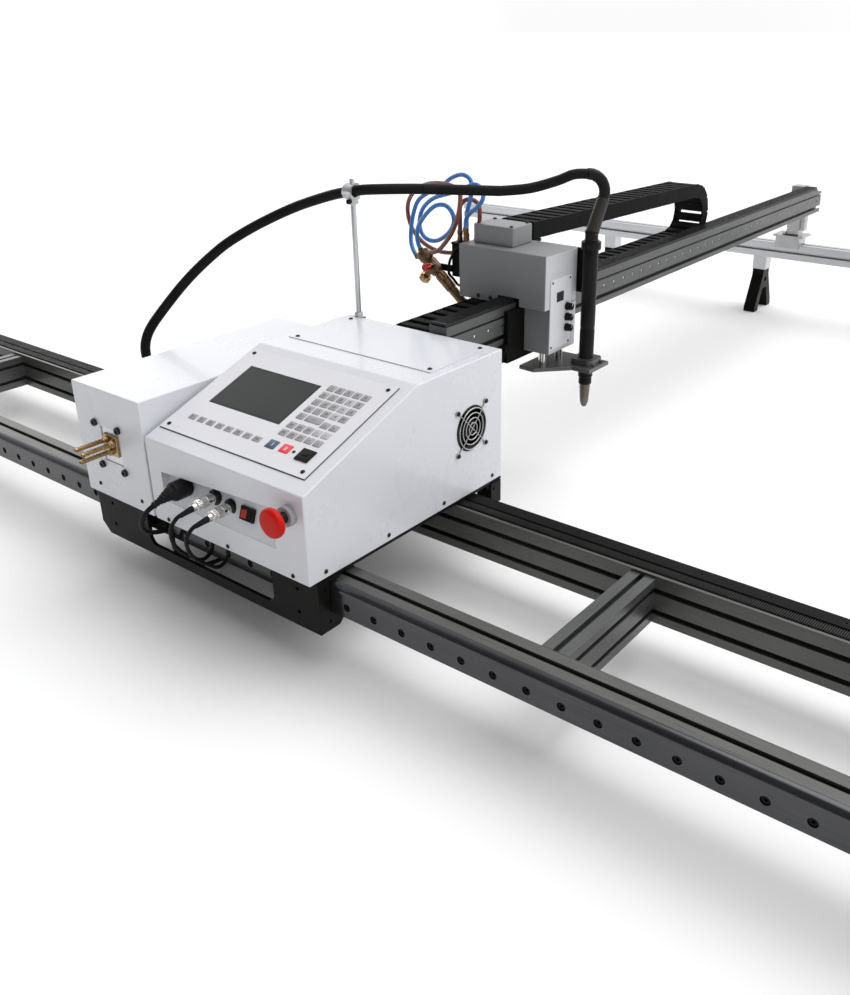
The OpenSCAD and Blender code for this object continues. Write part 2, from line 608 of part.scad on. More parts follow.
module drive_pinion() color([0.50, 0.50, 0.50]) place() difference() {
    cy([-185, pinion_y + 0.5, 13.5], pinion_r - 0.3, 15);
    for (a = [0 : 60 : 300]) translate([-185, 0, 13.5]) rotate([0, a, 0]) cy([12, pinion_y - 1, 0], 3, 18);
}

// ---------- cross beam ----------
module cross_beam() color([0.40, 0.41, 0.41]) gplace() difference() {
    along_y(398, beam_end) translate([-75 - beam_w, 190]) difference() {
        square([beam_w, beam_h]);
        translate([beam_w, 14]) rotate(90) slot2d(8, 3, 14, 7);
        translate([0, 14]) rotate(-90) slot2d(8, 3, 14, 7);
        translate([beam_w / 2, 0]) slot2d(8, 3, 14, 6);
        translate([beam_w / 2 - 8, 34]) square([16, 18]);
        translate([beam_w - 5, 47]) square([6, 4]);
    }
    for (i = [-1 : floor((beam_end - 490) / beam_pitch)]) cx([-83.5, 472.5 + i * beam_pitch, 224], 3, 9);
    // stepped top beyond the post
    bx([-112, 2092, 247], [-74, beam_end + 1, 257]);
}

module beam_rack() color([0.05, 0.05, 0.05]) gplace() bx([-108, 399, 256], [-78, 2091, 262]);

module chain_tray() color([0.10, 0.10, 0.10]) gplace() {
    along_y(399.5, 2070) polygon([[-200, 211], [-111, 211], [-111, 213], [-198, 213], [-198, 218], [-200, 218]]);
}

module chain_lower() color([0.05, 0.05, 0.05]) gplace()
    bx([chain_x - chain_w / 2, 402.5, chain_z0], [chain_x + chain_w / 2, loop_y - 24, chain_z0 + link_h]);

module chain_loop() color([0.05, 0.05, 0.05]) gplace()
    translate([chain_x - chain_w / 2, loop_y, loop_z]) rotate([90, 0, 90]) linear_extrude(chain_w) difference() {
        circle(bend_r + link_h / 2, $fn = 64);
        circle(bend_r - link_h / 2, $fn = 64);
        translate([-100, -100]) square([100, 200]);
    }

module chain_upper() color([0.05, 0.05, 0.05]) gplace()
    along_x(chain_x - chain_w / 2, chain_x + chain_w / 2)
        polygon([[700, 342], [loop_y, loop_z + bend_r - link_h / 2], [loop_y, loop_z + bend_r + link_h / 2], [700, 372]]);

module end_truck() color([0.55, 0.55, 0.55]) gplace() {
    along_x(-173, -103) polygon([[2073, 84], [2077.2, 84], [2077.2, 95.3], [2122.8, 95.3], [2122.8, 84], [2127, 84],
        [2127, 117], [2073, 117]]);
    difference() {
        bx([-179, 2066, 117], [-91, 2134, 122]);
        for (x = [-170, -100]) for (y = [2073, 2127]) cz([x, y, 118], 2.6, 5);
    }
    // post that carries the beam's end
    difference() {
        bx([-147, 2082, 122], [-111, 2118, 256]);
        bx([-140, 2089, 121.9], [-118, 2111, 255]);
    }
    bx([-147, 2082, 256 - e], [-111, 2118, 261]);
    bx([-155, 2074, 122 - e], [-147 + e, 2126, 130]);
    along_x(-111 - e, -99) polygon([[2088, 136], [2112, 136], [2112, 189.9], [2088, 189.9]]);
}

// ---------- torch lifter ----------
module lifter_truck() color([0.08, 0.08, 0.08]) gplace() {
    bx([-74.9, 555, 156], [-67, 690, 247]);
    bx([-74.9, 590.5, 247 - e], [-67, 690, 264]);
    bx([-116, 590.5, 262.1], [-67, 690, 270]);
    bx([-116, 548, 176], [-67, 690, 189.9]);
    // lower plate and rear chain bracket
    bx([-112, 548, 156], [-74.9, 600, 160]);
    bx([-112, 548, 156], [-108, 600, 176 + e]);
    bx([-186, 690, 264], [0, 696, 341]);
    bx([-186, 696 - e, 336], [-112, 722, 341]);
    bx([-116, 684, 264], [-67, 690 + e, 270 + e]);
}

module cross_motor() color([0.45, 0.46, 0.48]) gplace() {
    bx([-183, 612, 343.5], [-99, 672, 377]);
    cz([-106, 642, 270.2], 6, 74);
}

module lifter_box() color([0.72, 0.73, 0.74]) gplace() difference() {
    union() {
        bx([-198, 588, 249], [-14, 689, 343.5]);
        bx([-66.9, 604, 168], [-14, 689, 249 + e]);
    }
    bx([-196, 590, 248], [-16, 687, 341.5]);
    bx([-64.9, 606, 167], [-16, 687, 250]);
    bx([-118, 684, 248], [-66.95, 691, 271.5]);
    bx([-113.5, 586, 248], [-66.95, 592, 264]);
    cz([-106, 642, 340], 7, 5);
    for (x = [-155, -128]) cy([x, 587, 257], 2, 4);
    for (z = [246, 227, 208]) cx([-17, 655, z], 3.05, 4);
}

module control_plate() color([0.93, 0.93, 0.93]) gplace() difference() {
    bx([-14, 603, 176], [-12, 669, 300]);
    for (z = [246, 227, 208]) cx([-15, 655, z], 3.05, 4);
    bx([-15, 622, 259], [-11, 644, 276]);
}

module ctl_knob(z) {
    cx([-11.8, 655, z], 7, 12);
    cx([-22, 655, z], 3, 10.3);
}
module knob_upper() color([0.03, 0.03, 0.03]) gplace() ctl_knob(246);
module knob_middle() color([0.03, 0.03, 0.03]) gplace() ctl_knob(227);
module knob_lower() color([0.03, 0.03, 0.03]) gplace() ctl_knob(208);

// two guide rods, the arm and the torch clamp: they rise and fall together
module torch_slide() color([0.42, 0.42, 0.41]) gplace() difference() {
    union() {
        for (y = [619, 672]) cz([-36, y, 143.9], 7, 170);
        bx([-44, 630, 230], [-28, 661, 240]);
        bx([-44, 612, 230], [-28, 679, 238]);
        translate([0, 0, 137]) linear_extrude(7) polygon([[-66, 590], [-34, 588], [14, 638], [50, 638], [50, 704], [-66, 704]]);
        bx([-2, 651, 144 - e], [42, 699, 152]);
    }
    cz([torch_x, torch_y, 130], torch_r + 0.05, 30);
    for (y = [656, 696]) cx([30, y, 148], 2, 20);
}

// elbow of the torch: a quarter bend in the upright plane of the hose's last run
elbow_c = [12.8, 665.4, 440.3];
module orient_elbow() rotate([90, 0, 45.57]) children();
module plasma_torch() color([0.04, 0.04, 0.04]) gplace() {
    cz([torch_x, torch_y, 118], torch_r, 228);
    cz([torch_x, torch_y, 345.9], 17, 13);
    cz([torch_x, torch_y, 104], 11.5, 14.1);
    translate([torch_x, torch_y, 68]) cylinder(r1 = 7, r2 = 10, h = 36.1);
    translate([torch_x, torch_y, 60]) cylinder(r1 = 3, r2 = 6.4, h = 8.1);
    cz([torch_x, torch_y, 358.8], 11, 22);
    // tilted handle and moulded elbow that takes the hose
    rod([torch_x, torch_y, 374], [33.3, 686.2, 434], 10.6, 9.8);
    translate(elbow_c) orient_elbow() rotate([0, 0, -16]) rotate_extrude(angle = 106) translate([30, 0]) circle(r = 8.75, $fn = 48);
}

module torch_hose() color([0.03, 0.03, 0.03]) place() 
    tube([for (i = [0 : len(hose_pts) - 1]) gm(hose_pts[i], 1 + (gk - 1) * ease((i - 19) / 6))], hose_d, 2, 10);

// hand torch parked at the left of the lifter, pointing down to the right
ht_a = [-286, 602, 305];
ht_b = [-194.5, 602, 229];
ht_len = norm(ht_b - ht_a);
ht_dir = (ht_b - ht_a) / ht_len;
ht_t = acos(ht_dir[2]);
module on_torch(s) translate(ht_a + s * ht_dir) rotate([0, ht_t, 0]) children();
ox_p = [-264, 602, 294];        // foot of the oxygen valve
fu_p = ht_a + 22 * ht_dir;      // foot of the fuel valve
module on_fuel(t) translate(fu_p) rotate([0, ht_t + 90, 0]) translate([0, 0, t]) children();
module hand_torch() color([0.55, 0.42, 0.28]) gplace() {
    difference() {
        union() {
            on_torch(-14) cylinder(r = 13, h = 52);
            on_torch(37.9) cylinder(r = 10, h = 40);
            on_torch(77.8) cylinder(r = 8.5, h = ht_len - 78 - 7);
            on_torch(ht_len - 9) cylinder(r = 9.2, h = 9);
            rod([-288, 602, 308], gas_a[0], 4.5, 4.5);
            rod([-292, 603, 306], gas_b[0], 4.5, 4.5);
            rod([-280, 599, 302], gas_c[0], 4.5, 4.5);
            cy([ox_p[0], 583, ox_p[2]], 5.5, 19);
            on_fuel(0) cylinder(r = 6.5, h = 24);
            // arm to the holder plate
            bx([-232, 611, 276], [-198.1, 615, 334]);
            bx([-262, 611, 283], [-230, 615, 295]);
            bx([-266, 602, 284], [-256, 615, 294]);
            bx([-234, 611, 334 - e], [-198.1, 640, 338]);
        }
        cy([ox_p[0], 582, ox_p[2]], 3.05, 14);
        on_fuel(14) cylinder(r = 3.05, h = 12);
    }
    // hose fittings
    cz([gas_a[16][0], gas_a[16][1], 338 - e], 5, gas_a[16][2] - 338);
    cz([gas_b[24][0], gas_b[24][1], 338 - e], 4.8, gas_b[24][2] - 338);
    cz([gas_c[len(gas_c) - 1][0], gas_c[len(gas_c) - 1][1], 338 - e], 5, gas_c[len(gas_c) - 1][2] - 338);
}

module oxygen_knob() color([0.80, 0.10, 0.10]) gplace() {
    cy([ox_p[0], 570, ox_p[2]], 7.5, 12.7);
    cy([ox_p[0], 582.6, ox_p[2]], 3, 12);
}

module fuel_knob() color([0.70, 0.55, 0.30]) gplace() {
    on_fuel(24.3) cylinder(r = 11.5, h = 13);
    on_fuel(15) cylinder(r = 3, h = 9.4);
}

module gas_hoses() color([0.10, 0.30, 0.65]) gplace() {
    tube(gas_a, gas_d, 2, 8);
    tube(gas_b, gas_d, 2, 8);
    tube(gas_c, gas_d, 2, 8);
    tube(ignite, 5, 2, 8);
}

front_beam();
front_rail();
rear_beam();
drive_rack();
rear_strip();
cross_ties();
track_feet();
rail_screws();
support_rail();
support_legs();
support_feet();
deck_plate();
front_bracket();
rear_bracket();
guide_shoes();
main_cabinet();
top_cover();
gas_cabinet();
gas_manifold();
control_panel();
screen();
keypad();
mains_plug();
mains_lead();
lead_coil();
signal_plugs();
signal_cables();
rocker_frame();
rocker_button();
estop_collar();
estop_stem();
estop_head();
fan_frame();
fan_rotor();
cabinet_screws();
hose_pole();
hose_mounts();
drive_motor();
drive_pinion();
cross_beam();
beam_rack();
chain_tray();
chain_lower();
chain_loop();
chain_upper();
end_truck();
lifter_truck();
cross_motor();
lifter_box();
control_plate();
knob_upper();
knob_middle();
knob_lower();
torch_slide();
plasma_torch();
torch_hose();
hand_torch();
oxygen_knob();
fuel_knob();
gas_hoses();
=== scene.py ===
import bpy
import bmesh
import json
import math
from mathutils import Vector, Matrix

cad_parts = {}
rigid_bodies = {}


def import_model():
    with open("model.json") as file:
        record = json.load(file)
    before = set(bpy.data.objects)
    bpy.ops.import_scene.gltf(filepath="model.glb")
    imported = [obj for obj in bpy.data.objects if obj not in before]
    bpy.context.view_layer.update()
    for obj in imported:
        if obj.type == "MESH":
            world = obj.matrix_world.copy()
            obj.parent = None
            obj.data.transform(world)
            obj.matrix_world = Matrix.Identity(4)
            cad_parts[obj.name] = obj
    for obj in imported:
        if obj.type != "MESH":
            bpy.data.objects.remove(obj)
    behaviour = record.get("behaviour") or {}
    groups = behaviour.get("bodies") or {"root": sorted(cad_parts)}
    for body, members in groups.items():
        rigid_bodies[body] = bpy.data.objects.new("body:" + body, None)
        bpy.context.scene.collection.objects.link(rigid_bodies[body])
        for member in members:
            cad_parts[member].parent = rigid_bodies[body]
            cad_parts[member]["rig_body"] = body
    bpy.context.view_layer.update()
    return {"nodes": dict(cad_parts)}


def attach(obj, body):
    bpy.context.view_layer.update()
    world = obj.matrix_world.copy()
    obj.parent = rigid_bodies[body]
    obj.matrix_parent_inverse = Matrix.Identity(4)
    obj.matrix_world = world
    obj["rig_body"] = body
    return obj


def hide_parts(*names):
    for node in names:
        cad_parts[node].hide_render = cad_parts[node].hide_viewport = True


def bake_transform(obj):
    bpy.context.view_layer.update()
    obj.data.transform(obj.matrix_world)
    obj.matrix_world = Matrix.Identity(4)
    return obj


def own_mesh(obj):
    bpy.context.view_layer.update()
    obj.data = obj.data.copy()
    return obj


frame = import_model()
NODES = frame["nodes"]
SCN = bpy.context.scene

# The layout below is written in millimetres in the cabinet's own frame: zero at the
# bottom front right corner of the main cabinet, x along the track, y away from the
# operator, z up. W() turns it into the shared frame in metres.


def W(p):
    return Vector(((p[0] + 490) / 1000, (p[1] - 1117.7225) / 1000, (p[2] + 148.65) / 1000))


# The gantry past the cabinet is laid out at 1/1.045 of its size; G() enlarges it about
# a fixed point, as the CAD does.
GK = 1.045
GC = Vector((858.7, -760.0, 702.4))
GANTRY = {"lifter", "torch_lift", "upper_knob", "middle_knob", "lower_knob", "oxygen_valve", "fuel_valve", "chain_bend"}


def G(p, k=GK):
    return GC + (Vector(p) - GC) * k


def ease(t):
    t = min(1, max(0, t))
    return t * t * (3 - 2 * t)


# ---------------------------------------------------------------- camera
YAW, PITCH, ROLL = math.radians(37.88), math.radians(24.52), math.radians(-0.44)
_h = Vector((-math.sin(YAW), math.cos(YAW), 0))
_r = Vector((math.cos(YAW), math.sin(YAW), 0))
_z = Vector((0, 0, 1))
_f = _h * math.cos(PITCH) - _z * math.sin(PITCH)
_u = _h * math.sin(PITCH) + _z * math.cos(PITCH)
_r2 = _r * math.cos(ROLL) + _u * math.sin(ROLL)
_u2 = -_r * math.sin(ROLL) + _u * math.cos(ROLL)
cam_data = bpy.data.cameras.new("camera")
cam = bpy.data.objects.new("camera", cam_data)
SCN.collection.objects.link(cam)
m = Matrix.Identity(4)
for i in range(3):
    m[i][0], m[i][1], m[i][2] = _r2[i], _u2[i], -_f[i]
m.translation = W((858.7, -760.0, 702.4))
cam.matrix_world = m
cam_data.sensor_fit = "AUTO"
cam_data.sensor_width = 36
cam_data.lens = 35.01
cam_data.shift_x = -0.0392
cam_data.shift_y = -0.0366
cam_data.clip_start = 0.05
cam_data.clip_end = 200
SCN.camera = cam

# ---------------------------------------------------------------- materials


def material(name, base, rough=0.5, metal=0.0, vary=0.12, vscale=9.0, rvary=0.08, bump=0.15, bscale=700.0,
             stretch=(1, 1, 1), coat=0.0, tint=None, spots=0.0, spot_scale=60.0, spot_colour=(0.02, 0.02, 0.02),
             streak=0.0, bdist=0.0003, ior=None, spec=None):
    mt = bpy.data.materials.new(name)
    mt.use_nodes = True
    nt = mt.node_tree
    N, L = nt.nodes, nt.links
    b = N["Principled BSDF"]
    tc = N.new("ShaderNodeTexCoord")
    mp = N.new("ShaderNodeMapping")
    mp.inputs["Scale"].default_value = stretch
    L.new(tc.outputs["Object"], mp.inputs["Vector"])

    def noise(scale, detail, vec):
        n = N.new("ShaderNodeTexNoise")
        n.inputs["Scale"].default_value = scale
        n.inputs["Detail"].default_value = detail
        n.inputs["Roughness"].default_value = 0.6
        L.new(vec, n.inputs["Vector"])
        return n

    big = noise(vscale, 5, tc.outputs["Object"])
    fine = noise(bscale, 3, mp.outputs["Vector"])
    ramp = N.new("ShaderNodeMapRange")
    ramp.inputs["From Min"].default_value = 0.32
    ramp.inputs["From Max"].default_value = 0.68
    L.new(big.outputs["Fac"], ramp.inputs["Value"])
    mix = N.new("ShaderNodeMix")
    mix.data_type = "RGBA"
    lo = [c * (1 - vary) for c in base]
    hi = [min(1, c * (1 + vary)) for c in (tint or base)]
    mix.inputs[6].default_value = (*lo, 1)
    mix.inputs[7].default_value = (*hi, 1)
    L.new(ramp.outputs["Result"], mix.inputs[0])
    colour = mix.outputs[2]
    if streak > 0:
        s = N.new("ShaderNodeMix")
        s.data_type = "RGBA"
        s.blend_type = "MULTIPLY"
        st = N.new("ShaderNodeMapRange")
        st.inputs["From Min"].default_value = 0.3
        st.inputs["From Max"].default_value = 0.7
        st.inputs["To Min"].default_value = 1 - streak
        st.inputs["To Max"].default_value = 1.0
        L.new(fine.outputs["Fac"], st.inputs["Value"])
        s.inputs[0].default_value = 1.0
        L.new(colour, s.inputs[6])
        L.new(st.outputs["Result"], s.inputs[7])
        colour = s.outputs[2]
    if spots > 0:
        sp = noise(spot_scale, 6, tc.outputs["Object"])
        rr = N.new("ShaderNodeMapRange")
        rr.inputs["From Min"].default_value = 0.62
        rr.inputs["From Max"].default_value = 0.76
        rr.inputs["To Max"].default_value = spots
        L.new(sp.outputs["Fac"], rr.inputs["Value"])
        sm = N.new("ShaderNodeMix")
        sm.data_type = "RGBA"
        L.new(rr.outputs["Result"], sm.inputs[0])
        L.new(colour, sm.inputs[6])
        sm.inputs[7].default_value = (*spot_colour, 1)
        colour = sm.outputs[2]
    L.new(colour, b.inputs["Base Color"])
    rm = N.new("ShaderNodeMapRange")
    rm.inputs["From Min"].default_value = 0.3
    rm.inputs["From Max"].default_value = 0.7
    rm.inputs["To Min"].default_value = max(0.02, rough - rvary)
    rm.inputs["To Max"].default_value = min(1.0, rough + rvary)
    L.new(fine.outputs["Fac"] if streak > 0 else big.outputs["Fac"], rm.inputs["Value"])
    L.new(rm.outputs["Result"], b.inputs["Roughness"])
    b.inputs["Metallic"].default_value = metal
    if coat:
        b.inputs["Coat Weight"].default_value = coat
        b.inputs["Coat Roughness"].default_value = 0.08
    if ior:
        b.inputs["IOR"].default_value = ior
    if spec is not None:
        b.inputs["Specular IOR Level"].default_value = spec
    bp = N.new("ShaderNodeBump")
    bp.inputs["Strength"].default_value = bump
    bp.inputs["Distance"].default_value = bdist
    L.new(fine.outputs["Fac"], bp.inputs["Height"])
    L.new(bp.outputs["Normal"], b.inputs["Normal"])
    return mt


M = dict(
    white=material("white_powder_coat", (0.64, 0.65, 0.69), 0.30, vary=0.025, vscale=5, bump=0.22, bscale=1100, bdist=0.0002, coat=0.25, spots=0.0, spot_scale=26, spot_colour=(0.55, 0.56, 0.58)),
    panel=material("panel_foil", (0.68, 0.68, 0.715), 0.33, vary=0.02, vscale=7, bump=0.12, bscale=1500, bdist=0.0002, spots=0.03, spot_scale=40, spot_colour=(0.5, 0.5, 0.55)),
    # grey and grey_painted_lit are one grey coat in two tones: the dark tone is painted shade on the lifter's front,
    # the light tone is painted light on its right-facing sides
    grey=material("grey_powder_coat", (0.225, 0.23, 0.235), 0.42, vary=0.05, vscale=8, bump=0.30, bscale=1100, bdist=0.00025, spots=0.15, spot_scale=40, spot_colour=(0.14, 0.14, 0.15)),
    grey_painted_lit=material("grey_coat_painted_lit_side", (0.52, 0.53, 0.55), 0.40, vary=0.05, vscale=8, bump=0.25, bscale=1100, bdist=0.00025),
    clamp=material("clamp_steel", (0.12, 0.12, 0.12), 0.35, 0.7, vary=0.12, vscale=20, rvary=0.1, bump=0.15, bscale=700, spots=0.2, spot_scale=140),
    beam=material("extruded_dark_alloy", (0.118, 0.117, 0.112), 0.36, 0.6, vary=0.10, vscale=6, rvary=0.10, bump=0.20, bscale=420, stretch=(0.03, 1, 1), streak=0.22, spots=0.10, spot_scale=120),
    beam_y=material("extruded_dark_alloy_cross", (0.112, 0.114, 0.114), 0.36, 0.6, vary=0.10, vscale=6, rvary=0.10, bump=0.20, bscale=420, stretch=(1, 0.03, 1), streak=0.22, spots=0.10, spot_scale=120),
    rail=material("ground_rail_steel", (0.080, 0.081, 0.085), 0.20, 0.85, vary=0.10, vscale=5, rvary=0.06, bump=0.10, bscale=380, stretch=(0.02, 1, 1), streak=0.20, spots=0.12, spot_scale=90, spot_colour=(0.02, 0.02, 0.02)),
    strip=material("blacked_strip_steel", (0.008, 0.008, 0.008), 0.50, 0.0, vary=0.14, vscale=7, rvary=0.08, bump=0.12, bscale=500, stretch=(0.05, 1, 1), streak=0.25, spots=0.15, spot_scale=140, spec=0.06),
    steel=material("turned_steel", (0.46, 0.46, 0.46), 0.28, 1.0, vary=0.08, vscale=30, rvary=0.08, bump=0.10, bscale=900, streak=0.15),
    alu=material("anodised_alloy", (0.62, 0.63, 0.65), 0.36, 0.9, vary=0.05, vscale=4, rvary=0.06, bump=0.12, bscale=420, stretch=(0.03, 1, 1), streak=0.10),
    alu_z=material("anodised_alloy_upright", (0.60, 0.61, 0.63), 0.36, 0.9, vary=0.05, vscale=4, rvary=0.06, bump=0.12, bscale=420, stretch=(1, 1, 0.03), streak=0.10),
    black=material("satin_black_steel", (0.008, 0.0075, 0.007), 0.40, 0.1, vary=0.22, vscale=9, rvary=0.10, bump=0.28, bscale=800, spots=0.25, spot_scale=60, spot_colour=(0.024, 0.022, 0.018), ior=1.38, spec=0.12),
    oxide=material("black_oxide", (0.025, 0.025, 0.025), 0.38, 0.6, vary=0.2, vscale=60, bump=0.2, bscale=1500, spots=0.3, spot_scale=300, spot_colour=(0.09, 0.08, 0.07)),
    chain=material("chain_nylon", (0.006, 0.006, 0.006), 0.50, vary=0.25, vscale=30, bump=0.22, bscale=900, spots=0.25, spot_scale=120, spot_colour=(0.016, 0.016, 0.016), ior=1.32, spec=0.08),
    chain_bar=material("chain_cross_bar", (0.014, 0.014, 0.014), 0.60, vary=0.25, vscale=30, bump=0.22, bscale=900, spots=0.25, spot_scale=120, spot_colour=(0.04, 0.04, 0.04), ior=1.38, spec=0.08),
    rubber=material("hose_rubber", (0.008, 0.008, 0.008), 0.46, vary=0.25, vscale=25, rvary=0.10, bump=0.35, bscale=1300, bdist=0.0004, spots=0.2, spot_scale=90, spot_colour=(0.02, 0.02, 0.02), ior=1.4, spec=0.12),
    plastic=material("black_moulding", (0.009, 0.009, 0.010), 0.34, vary=0.2, vscale=20, bump=0.25, bscale=1600, bdist=0.0002, spots=0.15, spot_scale=200, spot_colour=(0.03, 0.03, 0.03), ior=1.4, spec=0.18),
    grey_plastic=material("grey_moulding", (0.30, 0.31, 0.33), 0.40, vary=0.08, vscale=30, bump=0.15, bscale=1500),
    key=material("membrane_key", (0.30, 0.30, 0.31), 0.48, vary=0.06, vscale=60, bump=0.25, bscale=1700, bdist=0.0002, spots=0.2, spot_scale=160, spot_colour=(0.20, 0.20, 0.21)),
    key_light=material("membrane_key_light", (0.42, 0.42, 0.44), 0.48, vary=0.05, vscale=60, bump=0.25, bscale=1700, bdist=0.0002),
    key_teal=material("membrane_key_teal", (0.035, 0.085, 0.13), 0.42, vary=0.10, vscale=80, bump=0.2, bscale=1700),
    key_red=material("membrane_key_red", (0.75, 0.035, 0.06), 0.42, vary=0.08, vscale=80, bump=0.2, bscale=1700),
    print=material("dark_print", (0.03, 0.03, 0.035), 0.5, vary=0.15, vscale=90, bump=0.1, bscale=1700),
    print_white=material("white_print", (0.75, 0.75, 0.75), 0.5, vary=0.05, vscale=90, bump=0.1, bscale=1700),
    red=material("stop_red", (0.50, 0.006, 0.002), 0.42, vary=0.08, vscale=22, rvary=0.05, bump=0.06, bscale=900, coat=0.0, spec=0.15),
    rocker_red=material("rocker_red", (0.45, 0.03, 0.012), 0.30, vary=0.12, vscale=60, bump=0.08, bscale=900, coat=0.2),
    knob_red=material("knob_red", (0.50, 0.012, 0.010), 0.30, vary=0.10, vscale=60, bump=0.08, bscale=900, coat=0.1),
    glass=material("display_glass", (0.024, 0.026, 0.026), 0.34, vary=0.10, vscale=14, rvary=0.05, bump=0.03, bscale=700, coat=0.0, spots=0.2, spot_scale=12, spot_colour=(0.035, 0.038, 0.04), spec=0.22),
    bezel=material("display_bezel", (0.025, 0.027, 0.028), 0.45, vary=0.12, vscale=30, bump=0.15, bscale=1500, spec=0.25),
    gasket=material("panel_gasket", (0.035, 0.036, 0.04), 0.60, vary=0.12, vscale=50, bump=0.2, bscale=1500),
    brass=material("machined_brass", (0.40, 0.27, 0.13), 0.30, 0.95, vary=0.18, vscale=40, rvary=0.1, bump=0.15, bscale=900, spots=0.45, spot_scale=90, spot_colour=(0.16, 0.08, 0.04)),
    brass_dull=material("tarnished_brass", (0.20, 0.12, 0.06), 0.36, 0.9, vary=0.25, vscale=35, rvary=0.12, bump=0.2, bscale=900, spots=0.55, spot_scale=70, spot_colour=(0.07, 0.032, 0.02)),
    brass_dark=material("browned_brass", (0.15, 0.095, 0.055), 0.40, 0.8, vary=0.3, vscale=45, rvary=0.12, bump=0.25, bscale=900, spots=0.6, spot_scale=90, spot_colour=(0.03, 0.014, 0.01)),
    nickel=material("nickel_plate", (0.72, 0.71, 0.68), 0.16, 1.0, vary=0.06, vscale=50, rvary=0.06, bump=0.05, bscale=900),
    blue=material("blue_hose", (0.045, 0.20, 0.56), 0.30, vary=0.14, vscale=30, rvary=0.08, bump=0.22, bscale=900, coat=0.25, spots=0.2, spot_scale=70, spot_colour=(0.03, 0.12, 0.36)),
    brown=material("brown_hose", (0.19, 0.055, 0.035), 0.36, vary=0.2, vscale=30, rvary=0.08, bump=0.25, bscale=900, spots=0.3, spot_scale=70, spot_colour=(0.09, 0.03, 0.02)),
    grommet=material("brown_sleeve", (0.030, 0.026, 0.021), 0.5, vary=0.2, vscale=40, bump=0.3, bscale=900, spec=0.3),
    nozzle=material("nozzle_metal", (0.14, 0.125, 0.115), 0.40, 0.95, vary=0.15, vscale=60, rvary=0.1, bump=0.1, bscale=900, spots=0.3, spot_scale=160, spot_colour=(0.12, 0.09, 0.08)),
)

# ---------------------------------------------------------------- mesh helpers


def link(o):
    SCN.collection.objects.link(o)
    return o


def finish_mesh(me, angle):
    bm = bmesh.new()
    bm.from_mesh(me)
    bmesh.ops.recalc_face_normals(bm, faces=bm.faces)
    lim = math.radians(angle)
    for e in bm.edges:
        e.smooth = not (len(e.link_faces) == 2 and e.calc_face_angle(0) > lim)
    for f in bm.faces:
        f.smooth = True
    bm.to_mesh(me)
    bm.free()


def bake(o):
    dg = bpy.context.evaluated_depsgraph_get()
    dg.update()
    me = bpy.data.meshes.new_from_object(o.evaluated_get(dg))
    o.modifiers.clear()
    o.data = me
    return o


def bevel(o, w, seg=2, angle=35):
    b = o.modifiers.new("edge", "BEVEL")
    b.width = w / 1000
    b.segments = seg
    b.limit_method = "ANGLE"
    b.angle_limit = math.radians(angle)
    b.use_clamp_overlap = True
    b.miter_outer = "MITER_ARC"
    n = o.modifiers.new("shade", "WEIGHTED_NORMAL")
    n.keep_sharp = True
    return o


